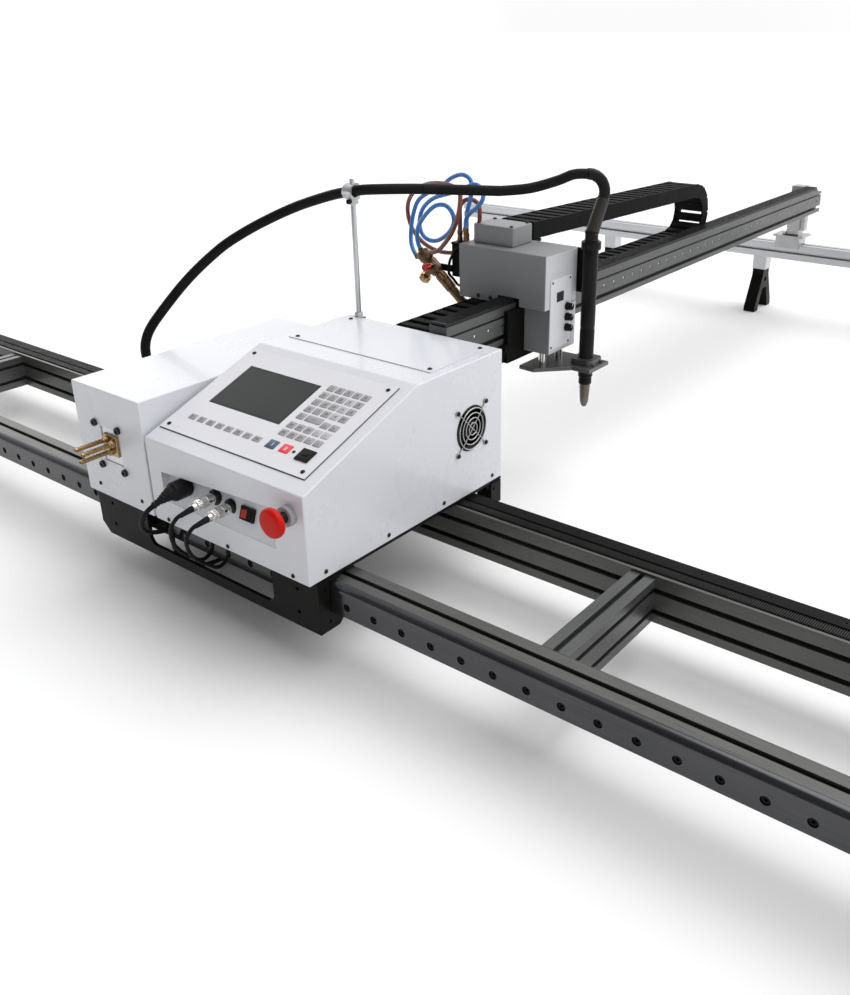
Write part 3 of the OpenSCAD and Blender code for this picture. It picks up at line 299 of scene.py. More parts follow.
class Geo:
    """Collects faces in millimetres; obj() makes one mesh object of them."""

    def __init__(self):
        self.v, self.f, self.m = [], [], []

    def add(self, verts, faces, mi=0):
        k = len(self.v)
        self.v += [tuple(q) for q in verts]
        self.f += [[i + k for i in f] for f in faces]
        self.m += [mi] * len(faces)
        return self

    def box(self, a, b, mi=0):
        x0, y0, z0 = (min(a[i], b[i]) for i in range(3))
        x1, y1, z1 = (max(a[i], b[i]) for i in range(3))
        v = [(x0, y0, z0), (x1, y0, z0), (x1, y1, z0), (x0, y1, z0), (x0, y0, z1), (x1, y0, z1), (x1, y1, z1), (x0, y1, z1)]
        return self.add(v, [(0, 3, 2, 1), (4, 5, 6, 7), (0, 1, 5, 4), (1, 2, 6, 5), (2, 3, 7, 6), (3, 0, 4, 7)], mi)

    def prism(self, pts, place, h0, h1, mi=0):
        """pts in the plane, place(a, b, h) puts them in space."""
        n = len(pts)
        v = [place(a, b, h0) for a, b in pts] + [place(a, b, h1) for a, b in pts]
        f = [list(range(n - 1, -1, -1)), list(range(n, 2 * n))]
        f += [(i, (i + 1) % n, n + (i + 1) % n, n + i) for i in range(n)]
        return self.add(v, f, mi)

    def lathe(self, prof, o, ax, seg=32, mi=0, ripples=0):
        """prof rows are (radius, height[, ripple depth]) along the axis ax from o."""
        ax = Vector(ax).normalized()
        s = Vector((0, 0, 1)) if abs(ax.z) < 0.9 else Vector((1, 0, 0))
        s = (s - ax * s.dot(ax)).normalized()
        t = ax.cross(s)
        o = Vector(o)
        rings, v = [], []
        for row in prof:
            r, h, k = row[0], row[1], (row[2] if len(row) > 2 else 0)
            if r < 1e-6:
                rings.append([len(v)])
                v.append(o + ax * h)
            else:
                ring = []
                for i in range(seg):
                    a = 2 * math.pi * i / seg
                    rr = r - k * (0.5 - 0.5 * math.cos(ripples * a)) if ripples else r
                    ring.append(len(v))
                    v.append(o + ax * h + (s * math.cos(a) + t * math.sin(a)) * rr)
                rings.append(ring)
        f = []
        for a, b in zip(rings, rings[1:]):
            if len(a) == 1 and len(b) == 1:
                continue
            if len(a) == 1:
                f += [(a[0], b[(i + 1) % seg], b[i]) for i in range(seg)]
            elif len(b) == 1:
                f += [(a[i], a[(i + 1) % seg], b[0]) for i in range(seg)]
            else:
                f += [(a[i], a[(i + 1) % seg], b[(i + 1) % seg], b[i]) for i in range(seg)]
        if len(rings[0]) > 1:
            f.append(list(reversed(rings[0])))
        if len(rings[-1]) > 1:
            f.append(rings[-1])
        return self.add(v, f, mi)

    def tube(self, path, radius, seg=12, mi=0, caps=True, closed=False):
        """radius is a number or a function of the share of the length."""
        P = [Vector(p) for p in path]
        n = len(P)
        if closed:
            T = [(P[(i + 1) % n] - P[i - 1]).normalized() for i in range(n)]
        else:
            T = [(P[min(i + 1, n - 1)] - P[max(i - 1, 0)]).normalized() for i in range(n)]
        s = Vector((0, 0, 1)) if abs(T[0].z) < 0.9 else Vector((1, 0, 0))
        v, f = [], []
        for i in range(n):
            s = (s - T[i] * s.dot(T[i])).normalized()
            u = T[i].cross(s)
            r = radius(i / (n - 1)) if callable(radius) else radius
            for k in range(seg):
                a = 2 * math.pi * k / seg
                v.append(P[i] + (s * math.cos(a) + u * math.sin(a)) * r)
        for i in range(n if closed else n - 1):
            j = (i + 1) % n
            for k in range(seg):
                f.append((i * seg + k, i * seg + (k + 1) % seg, j * seg + (k + 1) % seg, j * seg + k))
        if caps and not closed:
            f.append(list(range(seg - 1, -1, -1)))
            f.append([(n - 1) * seg + k for k in range(seg)])
        return self.add(v, f, mi)

    def obj(self, name, mats, body=None, replaces=(), angle=38, edge=0, seg=2, slot=None, gantry=False):
        me = bpy.data.meshes.new(name)
        up = gantry or body in GANTRY
        me.from_pydata([W(G(p)) if up else W(p) for p in self.v], [], self.f)
        mats = mats if isinstance(mats, (list, tuple)) else [mats]
        for mt in mats:
            me.materials.append(M[mt])
        me.polygons.foreach_set("material_index", self.m)
        finish_mesh(me, 180 if edge else angle)
        o = link(bpy.data.objects.new(name, me))
        if edge:
            bevel(o, edge, seg)
        if body:
            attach(o, body)
        if replaces:
            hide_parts(*replaces)
        return o


def soften(node, mat, w=0.6, seg=2, angle=32, extra=None):
    """A copy of a CAD node's mesh with its edges broken, shown in its place."""
    src = NODES[node]
    bm = bmesh.new()
    bm.from_mesh(src.data)
    bmesh.ops.remove_doubles(bm, verts=bm.verts, dist=3e-6)
    bmesh.ops.dissolve_limit(bm, angle_limit=math.radians(0.5), verts=bm.verts, edges=bm.edges)
    vs = [v.co.copy() for v in bm.verts]
    for i, v in enumerate(bm.verts):
        v.index = i
    fs = [[v.index for v in f.verts] for f in bm.faces]
    bm.free()
    me = bpy.data.meshes.new(node + "_skin")
    me.from_pydata(vs, [], fs)
    me.materials.append(M[mat])
    finish_mesh(me, 180 if w else 34)
    o = link(bpy.data.objects.new(node + "_skin", me))
    if w:
        bevel(o, w, seg, angle)
    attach(o, src["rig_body"])
    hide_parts(node)
    return o


def catmull(pts, k):
    P = [Vector(p) for p in pts]
    out = []
    for i in range(len(P) - 1):
        a, b, c, d = P[max(i - 1, 0)], P[i], P[i + 1], P[min(i + 2, len(P) - 1)]
        for j in range(k):
            t = j / k
            out.append(0.5 * ((2 * b) + (c - a) * t + (2 * a - 5 * b + 4 * c - d) * t * t + (3 * b - a - 3 * c + d) * t ** 3))
    out.append(P[-1])
    return out


def run(path):
    return sum((path[i + 1] - path[i]).length for i in range(len(path) - 1))


def on_slope(x, v, h=0.0):
    a = math.atan2(224 - 137, 237.5)
    return (x, v * math.cos(a) - h * math.sin(a), 137 + v * math.sin(a) + h * math.cos(a))


# ---------------------------------------------------------------- cords
hose_pts = [[-545, 210, 104], [-562, 210, 104], [-585.7, 210, 108.7], [-605.8, 209.5, 122.2], [-619.3, 209.5, 142.3],
            [-624, 211, 166], [-622, 217, 188], [-615, 227, 208], [-607, 241, 227], [-600, 258, 246], [-590, 280, 270], [-578, 304, 294], [-561, 328, 318], [-540, 351, 341],
            [-504, 378, 367], [-461, 402, 391], [-417, 421, 411], [-367, 434, 428], [-338, 440, 436], [-313, 442, 441],
            [-285, 444, 446], [-254, 450, 449], [-222, 461, 451], [-189, 476, 452], [-137, 516, 450], [-89, 560, 447],
            [-54, 595, 450], [-22, 629, 461], [-4.2, 648.1, 469.9], [12.4, 665, 470.3]]
hose_pts = [G(p, 1 + (GK - 1) * ease((i - 19) / 6)) for i, p in enumerate(hose_pts)]
gas_a = [[-313, 608, 302], [-325, 612, 312], [-335, 618, 326], [-339, 624, 346], [-338, 630, 373], [-328, 634, 399],
         [-303, 636, 416], [-273, 636, 430], [-249, 634, 446], [-222, 630, 454], [-203, 628, 448], [-199, 628, 432],
         [-203, 628, 412], [-209, 628, 393], [-211, 628, 376], [-211, 628, 363], [-211, 628, 353]]
gas_b = [[-298, 600, 320], [-301, 597, 334], [-298, 593, 352], [-286, 588, 370], [-266, 586, 391], [-248, 588, 404],
         [-229, 592, 405], [-217, 596, 391], [-219, 600, 372], [-237, 604, 352], [-264, 608, 337], [-289, 611, 336], [-306,
         614, 347], [-311, 616, 368], [-301, 616, 391], [-274, 614, 411], [-233, 612, 424], [-200, 612, 436.5], [-188, 612,
         441.5], [-179, 612, 443], [-170.5, 612, 440.7], [-164.3, 612, 434.5], [-162, 612, 426], [-164.3, 612, 417.5], [-174,
         612, 406], [-193, 613.5, 392], [-202, 615, 380], [-203, 615, 366]]
gas_c = [[-264, 590, 318], [-242, 585, 326], [-224, 580, 341], [-205, 577, 362], [-190, 574, 389], [-182, 572, 415],
         [-186, 576, 434], [-210, 584, 442], [-248, 592, 442], [-288, 606, 434], [-330, 622, 414], [-352, 632, 390],
         [-358, 640, 362], [-350, 646, 336], [-328, 650, 316], [-298, 652, 306], [-268, 654, 306], [-243, 654, 311],
         [-222, 653, 322], [-207, 651, 340], [-199, 649, 360], [-196.5, 647.5, 378], [-196, 647, 394], [-198, 645.7, 402.9],
         [-203.5, 642.2, 409.4], [-211, 637.5, 411.8], [-218.5, 632.8, 409.4], [-224, 629.3, 402.9], [-226, 628, 394],
         [-226, 628, 376], [-226, 628, 357]]
ignite = [[-207, 608, 334], [-218, 604, 325], [-229, 602, 307.5], [-233.5, 603, 290], [-236, 608, 279], [-234, 616, 270],
          [-224, 617, 260], [-212.3, 609, 262.3], [-200.8, 603, 268]]
sig_a = [[-199, -38, 71], [-207, -52, 64], [-218, -58, 44], [-228, -50, 14], [-236, -28, -16], [-238.5, -15.5, -27.5],
         [-241, -2.6, -38.8], [-242, 5.9, -42.7], [-242.6, 13.7, -42.4], [-243, 20.6, -38.8], [-243, 25.3, -32.6],
         [-243, 27, -25], [-243, 27, -14], [-243, 27, -4]]
sig_b = [[-166, -38, 65], [-174, -52, 58], [-184, -58, 38], [-193, -48, 8], [-200, -28, -16], [-202.5, -15.5, -27.5],
         [-204.5, -2.6, -38.8], [-205.4, 5.9, -42.7], [-206, 13.7, -42.4], [-206, 20.6, -38.8], [-206, 25.3, -32.6],
         [-206, 27, -25], [-206, 27, -14], [-206, 27, -4]]
lead_pts = [[-262, -46, 67], [-266, -57, 61], [-277, -62, 46], [-290, -58, 26], [-302, -42, 6],
            [-314, -20, -8], [-326, 4, -20], [-338, 22, -36], [-348, 28, -58], [-356, 36, -78],
            [-361, 50, -100], [-364, 70, -122], [-366, 98, -138.5], [-366.7, 132, -143.9], [-366.7, 170, -144.85], [-366.7, 196, -144.85]]


def cord(name, pts, d, mat, body, k=4, seg=12, blend=None):
    path = catmull(pts, k) if k > 1 else [Vector(p) for p in pts]
    g = Geo().tube(path, d / 2, seg)
    o = g.obj(name, mat, angle=60)
    if blend:
        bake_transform(o)
    else:
        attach(o, body)
    return o


# torch hose: held by the clamp on the pole, then across to the lifter and its torch
cut = 25
hose_1 = cord("torch_hose_fixed_run", hose_pts[: cut + 1], 17.5, "rubber", None, seg=20,
              blend=("carriage", "lifter", W((-300, 442, 441)), W(G((-89, 560, 447)))))
hose_2 = cord("torch_hose_moving_run", hose_pts[cut:], 17.5, "rubber", None, seg=20,
              blend=("lifter", "torch_lift", W(G((-80, 570, 447))), W(G((-2, 650, 468.5)))))
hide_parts("torch_hose")
ga = cord("gas_hose_a", [G(p) for p in gas_a], 8.36, "blue", "lifter", seg=14)
gb = cord("gas_hose_b", [G(p) for p in gas_b], 8.36, "blue", "lifter", seg=14)
gc = cord("gas_hose_c", [G(p) for p in gas_c], 8.36, "brown", "lifter", seg=14)
gi = cord("igniter_lead", [G(p) for p in ignite], 5.2, "rubber", "lifter", seg=10)
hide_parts("gas_hoses")
sa = cord("signal_cable_a", sig_a, 6, "rubber", "carriage", seg=12)
sb = cord("signal_cable_b", sig_b, 6, "rubber", "carriage", seg=12)
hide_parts("signal_cables")

# mains lead: down behind the front bracket, then its spare length in a coil on the floor
lead = catmull(lead_pts, 4)
cc = Vector((-420, 213, 0))
cells = [(53.3, 0), (45, 0), (36.7, 0), (36.7, 1), (36.7, 2), (45, 2), (45, 1), (53.3, 1), (53.3, 2)]
row_z = [-144.85, -136.55, -128.25]
coil = []
STEPS = 28
for n, (r0, k0) in enumerate(cells):
    r1, k1 = cells[min(n + 1, len(cells) - 1)]
    for i in range(STEPS):
        t = i / STEPS
        s = min(1, max(0, (t - 0.80) / 0.20))
        s = s * s * (3 - 2 * s)
        r = r0 + (r1 - r0) * s
        z = row_z[k0] + (row_z[k1] - row_z[k0]) * s
        a = 2 * math.pi * t
        coil.append(Vector((cc.x + r * math.cos(a), cc.y + r * math.sin(a), z)))
coil.append(Vector((cc.x + 53.3, cc.y, row_z[2])))
tail = [Vector((-366.7, 228, -129.05)), Vector((-366.7, 243, -131.15))]
for i in range(1, 9):
    a = math.pi / 2 * i / 8
    tail.append(Vector((-402.2 + 35.5 * math.cos(a), 252.5 + 35.5 * math.sin(a), -131.15 - 2 * i / 8)))
lead_path = lead[:-1] + [Vector((-366.7, 203, -144.85))] + coil + tail
wall = None

# ---------------------------------------------------------------- track
soften("front_beam", "beam", 0.7)
soften("front_rail", "rail", 0.6)
soften("rear_beam", "beam", 0.7)
soften("rear_strip", "strip", 0.7)
soften("cross_ties", "beam_y", 0.7)
soften("track_feet", "black", 1.6)
soften("rail_screws", "black", 0.45)
soften("support_rail", "alu", 0.8)
soften("support_legs", "alu_z", 0.8)
soften("support_feet", "black", 1.8)

X0, X1 = -1840.0, 860.0


def rack(name, replaces, body, along, a, b, c0, c1, base, root, tip, pitch, phase, mat="oxide", gantry=False):
    """Toothed bar: along is 'x' or 'y'; c0..c1 is its width."""
    pts = []
    n0 = math.ceil((a - phase) / pitch) + 1
    n1 = math.floor((b - phase) / pitch) - 1
    pts.append((a, base))
    pts.append((a, tip))
    for i in range(n0, n1 + 1):
        c = phase + i * pitch
        w = pitch * 0.25
        pts += [(c - w * 1.45, tip), (c - w * 0.62, root), (c + w * 0.62, root), (c + w * 1.45, tip)]
    pts += [(b, tip), (b, base)]
    g = Geo()
    # quads between the outline and the base keep the long side faces simple
    v, f = [], []
    n = len(pts)
    for s, h in ((0, c0), (1, c1)):
        for (p, z) in pts:
            v.append((p, h, z) if along == "x" else (h, p, z))
        for (p, z) in pts:
            v.append((p, h, base) if along == "x" else (h, p, base))
    for i in range(n - 1):
        f.append((i, i + 1, 2 * n + i + 1, 2 * n + i))
        f.append((i, n + i, n + i + 1, i + 1))
        f.append((2 * n + i, 2 * n + i + 1, 3 * n + i + 1, 3 * n + i))
        f.append((n + i, 3 * n + i, 3 * n + i + 1, n + i + 1))
    g.add(v, f)
    o = g.obj(name, mat, body, replaces, angle=30, gantry=gantry)
    bm = bmesh.new()
    bm.from_mesh(o.data)
    bmesh.ops.remove_doubles(bm, verts=bm.verts, dist=1e-6)
    bmesh.ops.dissolve_degenerate(bm, dist=1e-7, edges=bm.edges)
    bmesh.ops.recalc_face_normals(bm, faces=bm.faces)
    bm.to_mesh(o.data)
    bm.free()
    return o


PITCH_T = math.pi  # module 1
rack("drive_rack_teeth", ["drive_rack"], "track", "x", X0 + 1, X1 - 1, 331, 347, -12, -7.8, -5.6, PITCH_T, -185.0)


def gear(name, o, ax_y0, ax_y1, n, mod, phase, body, replaces, mat):
    rt, rr = n * mod / 2 + 0.8 * mod, n * mod / 2 - 1.25 * mod
    pts = []
    for i in range(n):
        a = 2 * math.pi * i / n + phase
        st = 2 * math.pi / n
        for da, r in ((-0.34, rr), (-0.23, n * mod / 2), (-0.11, rt), (0.11, rt), (0.23, n * mod / 2), (0.34, rr)):
            pts.append((r * math.cos(a + da * st), r * math.sin(a + da * st)))
    g = Geo()
    hole = [(5.2 * math.cos(2 * math.pi * i / len(pts)), 5.2 * math.sin(2 * math.pi * i / len(pts))) for i in range(len(pts))]
    k = len(pts)
    v = []
    for y in (ax_y0, ax_y1):
        v += [(o[0] + a, y, o[1] + b) for a, b in pts]
        v += [(o[0] + a, y, o[1] + b) for a, b in hole]
    f = []
    for i in range(k):
        j = (i + 1) % k
        f += [(i, j, k + j, k + i), (2 * k + i, 3 * k + i, 3 * k + j, 2 * k + j), (i, 2 * k + i, 2 * k + j, j), (k + i, k + j, 3 * k + j, 3 * k + i)]
    g.add(v, f)
    return g.obj(name, mat, body, replaces, angle=28)


gear("drive_pinion_gear", (-185.0, 13.5), 331.5, 346.5, 40, 1.0, -math.pi / 2, "pinion", ["drive_pinion"], "steel")

# ---------------------------------------------------------------- carriage plates
soften("deck_plate", "black", 0.5)
soften("front_bracket", "black", 0.8)
soften("rear_bracket", "black", 0.8)
soften("guide_shoes", "steel", 0.8)
soften("drive_motor", "black", 1.2)


def screw(g, p, ax, r, h, mi=0, kind="button"):
    ax = Vector(ax).normalized()
    if kind == "button":
        g.lathe([(r, 0), (r, h * 0.25), (r * 0.93, h * 0.55), (r * 0.72, h * 0.88), (r * 0.5, h), (r * 0.5, h * 0.35), (0, h * 0.35)], p, ax, 24, mi)
    elif kind == "cap":
        g.lathe([(r, 0), (r, h * 0.85), (r * 0.9, h), (r * 0.55, h), (r * 0.55, h * 0.4), (0, h * 0.4)], p, ax, 24, mi)
    elif kind == "hex":
        g.lathe([(r * 1.25, 0), (r * 1.25, h * 0.12), (r * 0.98, h * 0.14)], p, ax, 24, mi)
        g.lathe([(r, h * 0.12), (r, h * 0.86), (r * 0.86, h), (0, h)], p, ax, 6, mi)


# ---------------------------------------------------------------- cabinets


def solid(name, pts, place, h0, h1, w, seg=3):
    o = Geo().prism(pts, place, h0, h1).obj(name, "white", angle=180)
    b = o.modifiers.new("edge", "BEVEL")
    b.width = w / 1000
    b.segments = seg
    b.limit_method = "ANGLE"
    b.angle_limit = math.radians(15)
    return bake(o)


def cut_out(o, cutters):
    for c in cutters:
        b = o.modifiers.new("cut", "BOOLEAN")
        b.operation = "DIFFERENCE"
        b.solver = "EXACT"
        b.object = c
    bake(o)
    for c in cutters:
        bpy.data.objects.remove(c)
    return o


def shade(o, angle=30):
    finish_mesh(o.data, angle)
    n = o.modifiers.new("shade", "WEIGHTED_NORMAL")
    n.keep_sharp = True
    return bake(o)


# faces turned to +X take the lighter grey tone: painted light on the right-facing sides
def paint_lit_side(o):
    for f in o.data.polygons:
        if f.normal.x > 0.9:
            f.material_index = 1


def yz(a, b, h):
    return (h, a, b)


SL = math.atan2(224 - 137, 237.5)


def cab2d(t):
    return [(t, t if t else 0), (446 - t, t if t else 0), (446 - t, 224 - t), (237.5 + t * math.tan(SL / 2), 224 - t),
            (t, 137 - t * (1 / math.cos(SL) - math.tan(SL)))]


def slab(g, pts, h0, h1):
    """a box on the sloped panel"""
    x0, v0, x1, v1 = pts
    v = [on_slope(x, q, h) for h in (h0, h1) for x, q in ((x0, v0), (x1, v0), (x1, v1), (x0, v1))]
    return g.add(v, [(3, 2, 1, 0), (4, 5, 6, 7), (0, 1, 5, 4), (1, 2, 6, 5), (2, 3, 7, 6), (3, 0, 4, 7)])


shell = solid("main_cabinet_shell", cab2d(0), yz, -340, 0, 2.2)
inner = [(a, b if b > 2 else -5) for a, b in cab2d(1.5)]
c1 = Geo().prism(inner, yz, -338.5, -1.5).obj("c1", "white")
c2 = Geo().prism([(-309, 40), (-62, 40), (-62, 103), (-309, 88)], lambda a, b, h: (a, h, b), -6, 6).obj("c2", "white")
c3 = Geo().lathe([(38, 0), (38, 12)], (-6, 364, 114.4), (1, 0, 0), 64).obj("c3", "white")
c4 = slab(Geo(), (-318, 44, -38, 220), -10, 10).obj("c4", "white")
vents = Geo()
for i in range(8):
    vents.box((-300 + i * 16, 440, 60), (-292 + i * 16, 452, 120))
c5 = vents.obj("c5", "white")
c6 = Geo().lathe([(11.2, 0), (11.2, 8)], (-28, -4, 104), (0, 1, 0), 40).obj("c6", "white")
cut_out(shell, [c1, c2, c3, c4, c5, c6])
shade(shell)
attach(shell, "carriage")
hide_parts("main_cabinet")

# connector tray, leaning back, with its side walls
TA = math.atan2(22.2, 62.5)


def on_tray(x, z, u=0.0, w=0.0, n=0.0):
    """a point on the tray: u right, w up along the tray, n out of it toward the operator"""
    y = 0.2 + (z - 40) * 22.2 / 62.5
    return (x + u, y + w * math.sin(TA) - n * math.cos(TA), z + w * math.cos(TA) + n * math.sin(TA))


tray = Geo()
tray.prism([(0.4, 39.2), (1.9, 39.0), (24.6, 103.2), (23.0, 103.6)], yz, -310.3, -60.7)
tray.prism([(0.8, 39.5), (24.8, 103.4), (0.8, 103.4)], yz, -310.4, -309.0)
tray.prism([(0.8, 39.5), (24.8, 103.4), (0.8, 103.4)], yz, -62.0, -60.6)
tray.box((-310, 1.0, 102.6), (-61, 24.4, 103.9))
tray = tray.obj("connector_tray", "white", "carriage", edge=0.3, slot="white_paint")

soften("top_cover", "white", 0.5)

gas = Geo().prism([(-519, 0), (-345, 0), (-345, 435), (-519, 435)], lambda a, b, h: (a, b, h), 0, 190).obj("gas_cabinet_shell", "white", angle=180)
b = gas.modifiers.new("edge", "BEVEL")
b.width = 0.0022
b.segments = 3
b.limit_method = "ANGLE"
b.angle_limit = math.radians(15)
bake(gas)
d1 = Geo().box((-517.5, 1.5, -5), (-346.5, 433.5, 188.5)).obj("d1", "white")
d2 = Geo().prism([(-456, 68), (-408, 68), (-408, 127), (-456, 127)], lambda a, b, h: (a, h, b), -6, 6).obj("d2", "white")
d3 = Geo().lathe([(12.2, 0), (12.2, 10)], (-524, 210, 104), (1, 0, 0), 40).obj("d3", "white")
cut_out(gas, [d1, d2, d3])
shade(gas)
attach(gas, "carriage")
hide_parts("gas_cabinet")

# screws of the cabinets
g = Geo()
for p in ((-310.8, 422.8), (-310.8, 296), (-28, 298), (-28, 423.5)):
    screw(g, (p[0], p[1], 225.4), (0, 0, 1), 4, 1.9)
nz = (0, -math.sin(SL), math.cos(SL))
for x in (-322, -34):
    for v in (38, 225):
        screw(g, on_slope(x, v, 2), nz, 3.5, 1.8)
for x in (-307, -169, -32):
    screw(g, (x, 0.1, 7.5), (0, -1, 0), 3.5, 1.8)
for x in (-483.5, -372):
    screw(g, (x, 0.1, 19), (0, -1, 0), 3.5, 1.8)
for y in (32, 162, 292, 420):
    screw(g, (-0.1, y, 11), (1, 0, 0), 3.5, 1.9)
for s in (-1, 1):
    for t in (-1, 1):
        screw(g, (2.5, 364 + s * 35.75, 114.4 + t * 35.75), (1, 0, 0), 3.8, 2.0)
for p in ((-468.5, 130), (-407, 130), (-464, 59), (-405, 59)):
    screw(g, (p[0], 0.1, p[1]), (0, -1, 0), 6, 5.1, kind="cap")
g.obj("cabinet_screw_heads", "oxide", "carriage", ["cabinet_screws"], angle=32, slot="black_steel")

# ---------------------------------------------------------------- operator panel
g = Geo()
slab(g, (-334.2, 26.8, -20.8, 236.2), 0.05, 0.9)
g.obj("panel_gasket", "gasket", "carriage", edge=0.3)
soften("control_panel", "panel", 0.7)

# display: bezel, glass and lit-off pixels area
g = Geo()
slab(g, (-300.6, 101.9, -143.9, 196.6), -4, 1.2)
g.obj("display_bezel", "bezel", "carriage", ["screen"], edge=0.5, slot="screen_glass")
g = Geo()
slab(g, (-297.0, 105.5, -147.5, 193.0), 1.0, 1.5)
g.obj("display_glass", "glass", "carriage", edge=0.2, slot="screen_glass")


def glyph(g, ch, cx_, cv, h, mi, lift):
    """seven-bar strokes for a plain number, or a small mark"""
    segs = {"0": "abcdef", "1": "bc", "2": "abged", "3": "abgcd", "4": "fgbc", "5": "afgcd", "6": "afgedc", "7": "abc",
            "8": "abcdefg", "9": "abcdfg", "-": "g", "F": "aefg", "=": "gd", "C": "afed", "E": "afged", "L": "fed", "H": "fegbc", "U": "fedcb"}
    w = h * 0.55
    t = h * 0.16
    bars = {"a": (-w / 2, h / 2 - t, w / 2, h / 2), "d": (-w / 2, -h / 2, w / 2, -h / 2 + t), "g": (-w / 2, -t / 2, w / 2, t / 2),
            "f": (-w / 2, 0, -w / 2 + t, h / 2), "b": (w / 2 - t, 0, w / 2, h / 2), "e": (-w / 2, -h / 2, -w / 2 + t, 0), "c": (w / 2 - t, -h / 2, w / 2, 0)}
    for s in segs[ch]:
        x0, v0, x1, v1 = bars[s]
        x0, v0, x1, v1 = cx_ + x0, cv + v0, cx_ + x1, cv + v1
        v = [on_slope(x, q, lift + hh) for hh in (0, 0.12) for x, q in ((x0, v0), (x1, v0), (x1, v1), (x0, v1))]
        g.add(v, [(3, 2, 1, 0), (4, 5, 6, 7), (0, 1, 5, 4), (1, 2, 6, 5), (2, 3, 7, 6), (3, 0, 4, 7)], mi)


keys = {"key": [], "key_light": [], "key_teal": [], "key_red": []}
marks = Geo()
pads = {k: Geo() for k in keys}


def pad(kind, x, v, w, d, ch="", size=4.6, ink=0):
    g = pads[kind]
    r = 1.5
    pts = []
    for sx, sv, a0 in ((1, 1, 0), (-1, 1, 90), (-1, -1, 180), (1, -1, 270)):
        for i in range(4):
            a = math.radians(a0 + i * 30)
            pts.append((x + sx * (w / 2 - r) + r * math.cos(a), v + sv * (d / 2 - r) + r * math.sin(a)))
    top = [(x + (a - x) * 0.94, v + (b - v) * 0.93) for a, b in pts]
    n = len(pts)
    vv = [on_slope(a, b, 1.9) for a, b in pts] + [on_slope(a, b, 2.35) for a, b in pts] + [on_slope(a, b, 2.75) for a, b in top]
    f = [list(range(n - 1, -1, -1)), list(range(2 * n, 3 * n))]
    f += [(i, (i + 1) % n, n + (i + 1) % n, n + i) for i in range(n)]
    f += [(n + i, n + (i + 1) % n, 2 * n + (i + 1) % n, 2 * n + i) for i in range(n)]
    g.add(vv, f)
    for i, c in enumerate(ch):
        glyph(marks, c, x + (i - (len(ch) - 1) / 2) * size * 0.85, v, size, ink, 2.72)


num = ["7", "8", "9", "4", "5", "6", "1", "2", "3", "0"]
grid = [["1", "2", "3", "4", "5"], ["6", "7", "8", "9", "0"], ["11", "12", "13", "14", "15"], ["16", "17", "18", "19", "20"]]
for j in range(4):
    for i in range(5):
        pad("key_light" if (i == 3 and j > 0) else "key", -123 + i * 17.25, 197.5 - j * 17, 14.6, 13.2, grid[j][i], 4.4 if len(grid[j][i]) == 2 else 5.4)
pad("key", -123, 129.5, 14.6, 13.2, "21", 4.4)
pad("key", -97.1, 129.5, 31.8, 13.2, "--", 5)
for i in range(3):
    for j in range(2):
        pad("key", -123 + i * 17.25, 108.5 - j * 17.3, 14.6, 13.2, "2" + str(2 + i + 3 * j), 4.4)
for i in (3, 4):
    for j in range(3):
        pad("key_light" if j == 1 else "key", -123 + i * 17.25, 125.8 - j * 17.3, 14.6, 12.6, "=" if j == 0 else "-", 5)
for i in range(8):
    pad("key", -295 + i * 20.4, 64.5, 15, 11, "F" + str(i + 1), 4.4)
pad("key_teal", -120.5, 64.5, 19, 17, "1", 7, 1)
pad("key_red", -93, 65, 19, 17, "0", 7, 1)
first = True
for k, g in pads.items():
    o = g.obj("keys_" + k, k, "carriage", ["keypad"] if first else (), angle=50, slot="grey_plastic")
    first = False
marks.obj("key_numbers", ["print", "print_white"], "carriage", angle=30)
g = Geo()
g.lathe([(2.6, 1.9), (2.6, 2.6), (2.1, 3.2), (1.0, 3.6), (0, 3.7)], on_slope(-76.5, 64.5, 0), nz, 20)
g.obj("status_lamp", "bezel", "carriage", angle=60)
# square black cap over the data socket, with a pull ridge
g = Geo()
slab(g, (-66, 53, -41, 76), 1.9, 4.2)
slab(g, (-63.2, 55.8, -43.8, 73.2), 4.0, 5.0)
slab(g, (-58.5, 61.8, -48.5, 67.2), 4.8, 6.2)
g.obj("socket_cap", "plastic", "carriage", edge=0.7, slot="grey_plastic")

# ---------------------------------------------------------------- controls on the connector tray
# mains connector with a ribbed, tapering boot
g = Geo()
g.lathe([(12.6, 12), (14.8, 9), (15, 7), (15, -14), (14.3, -17), (13.4, -18.4), (12.2, -19.5)], (-262, 0, 74), (0, 1, 0), 40)
boot = catmull([(-262, -17, 74), (-262, -24, 73.2), (-262, -31, 71.6), (-262.4, -38, 69.4), (-263, -44.5, 67.5), (-264.5, -51, 64.4)], 8)


def boot_r(t):
    r = 12.8 + (5.0 - 12.8) * min(1, t / 0.72) ** 0.85
    if t > 0.30:
        r += 0.55 * math.cos(t * 48)
    return max(4.4, r)


g.tube(boot, boot_r, 28)
mp1 = g.obj("mains_connector", "plastic", "carriage", ["mains_plug"], angle=40, slot="black_rubber")
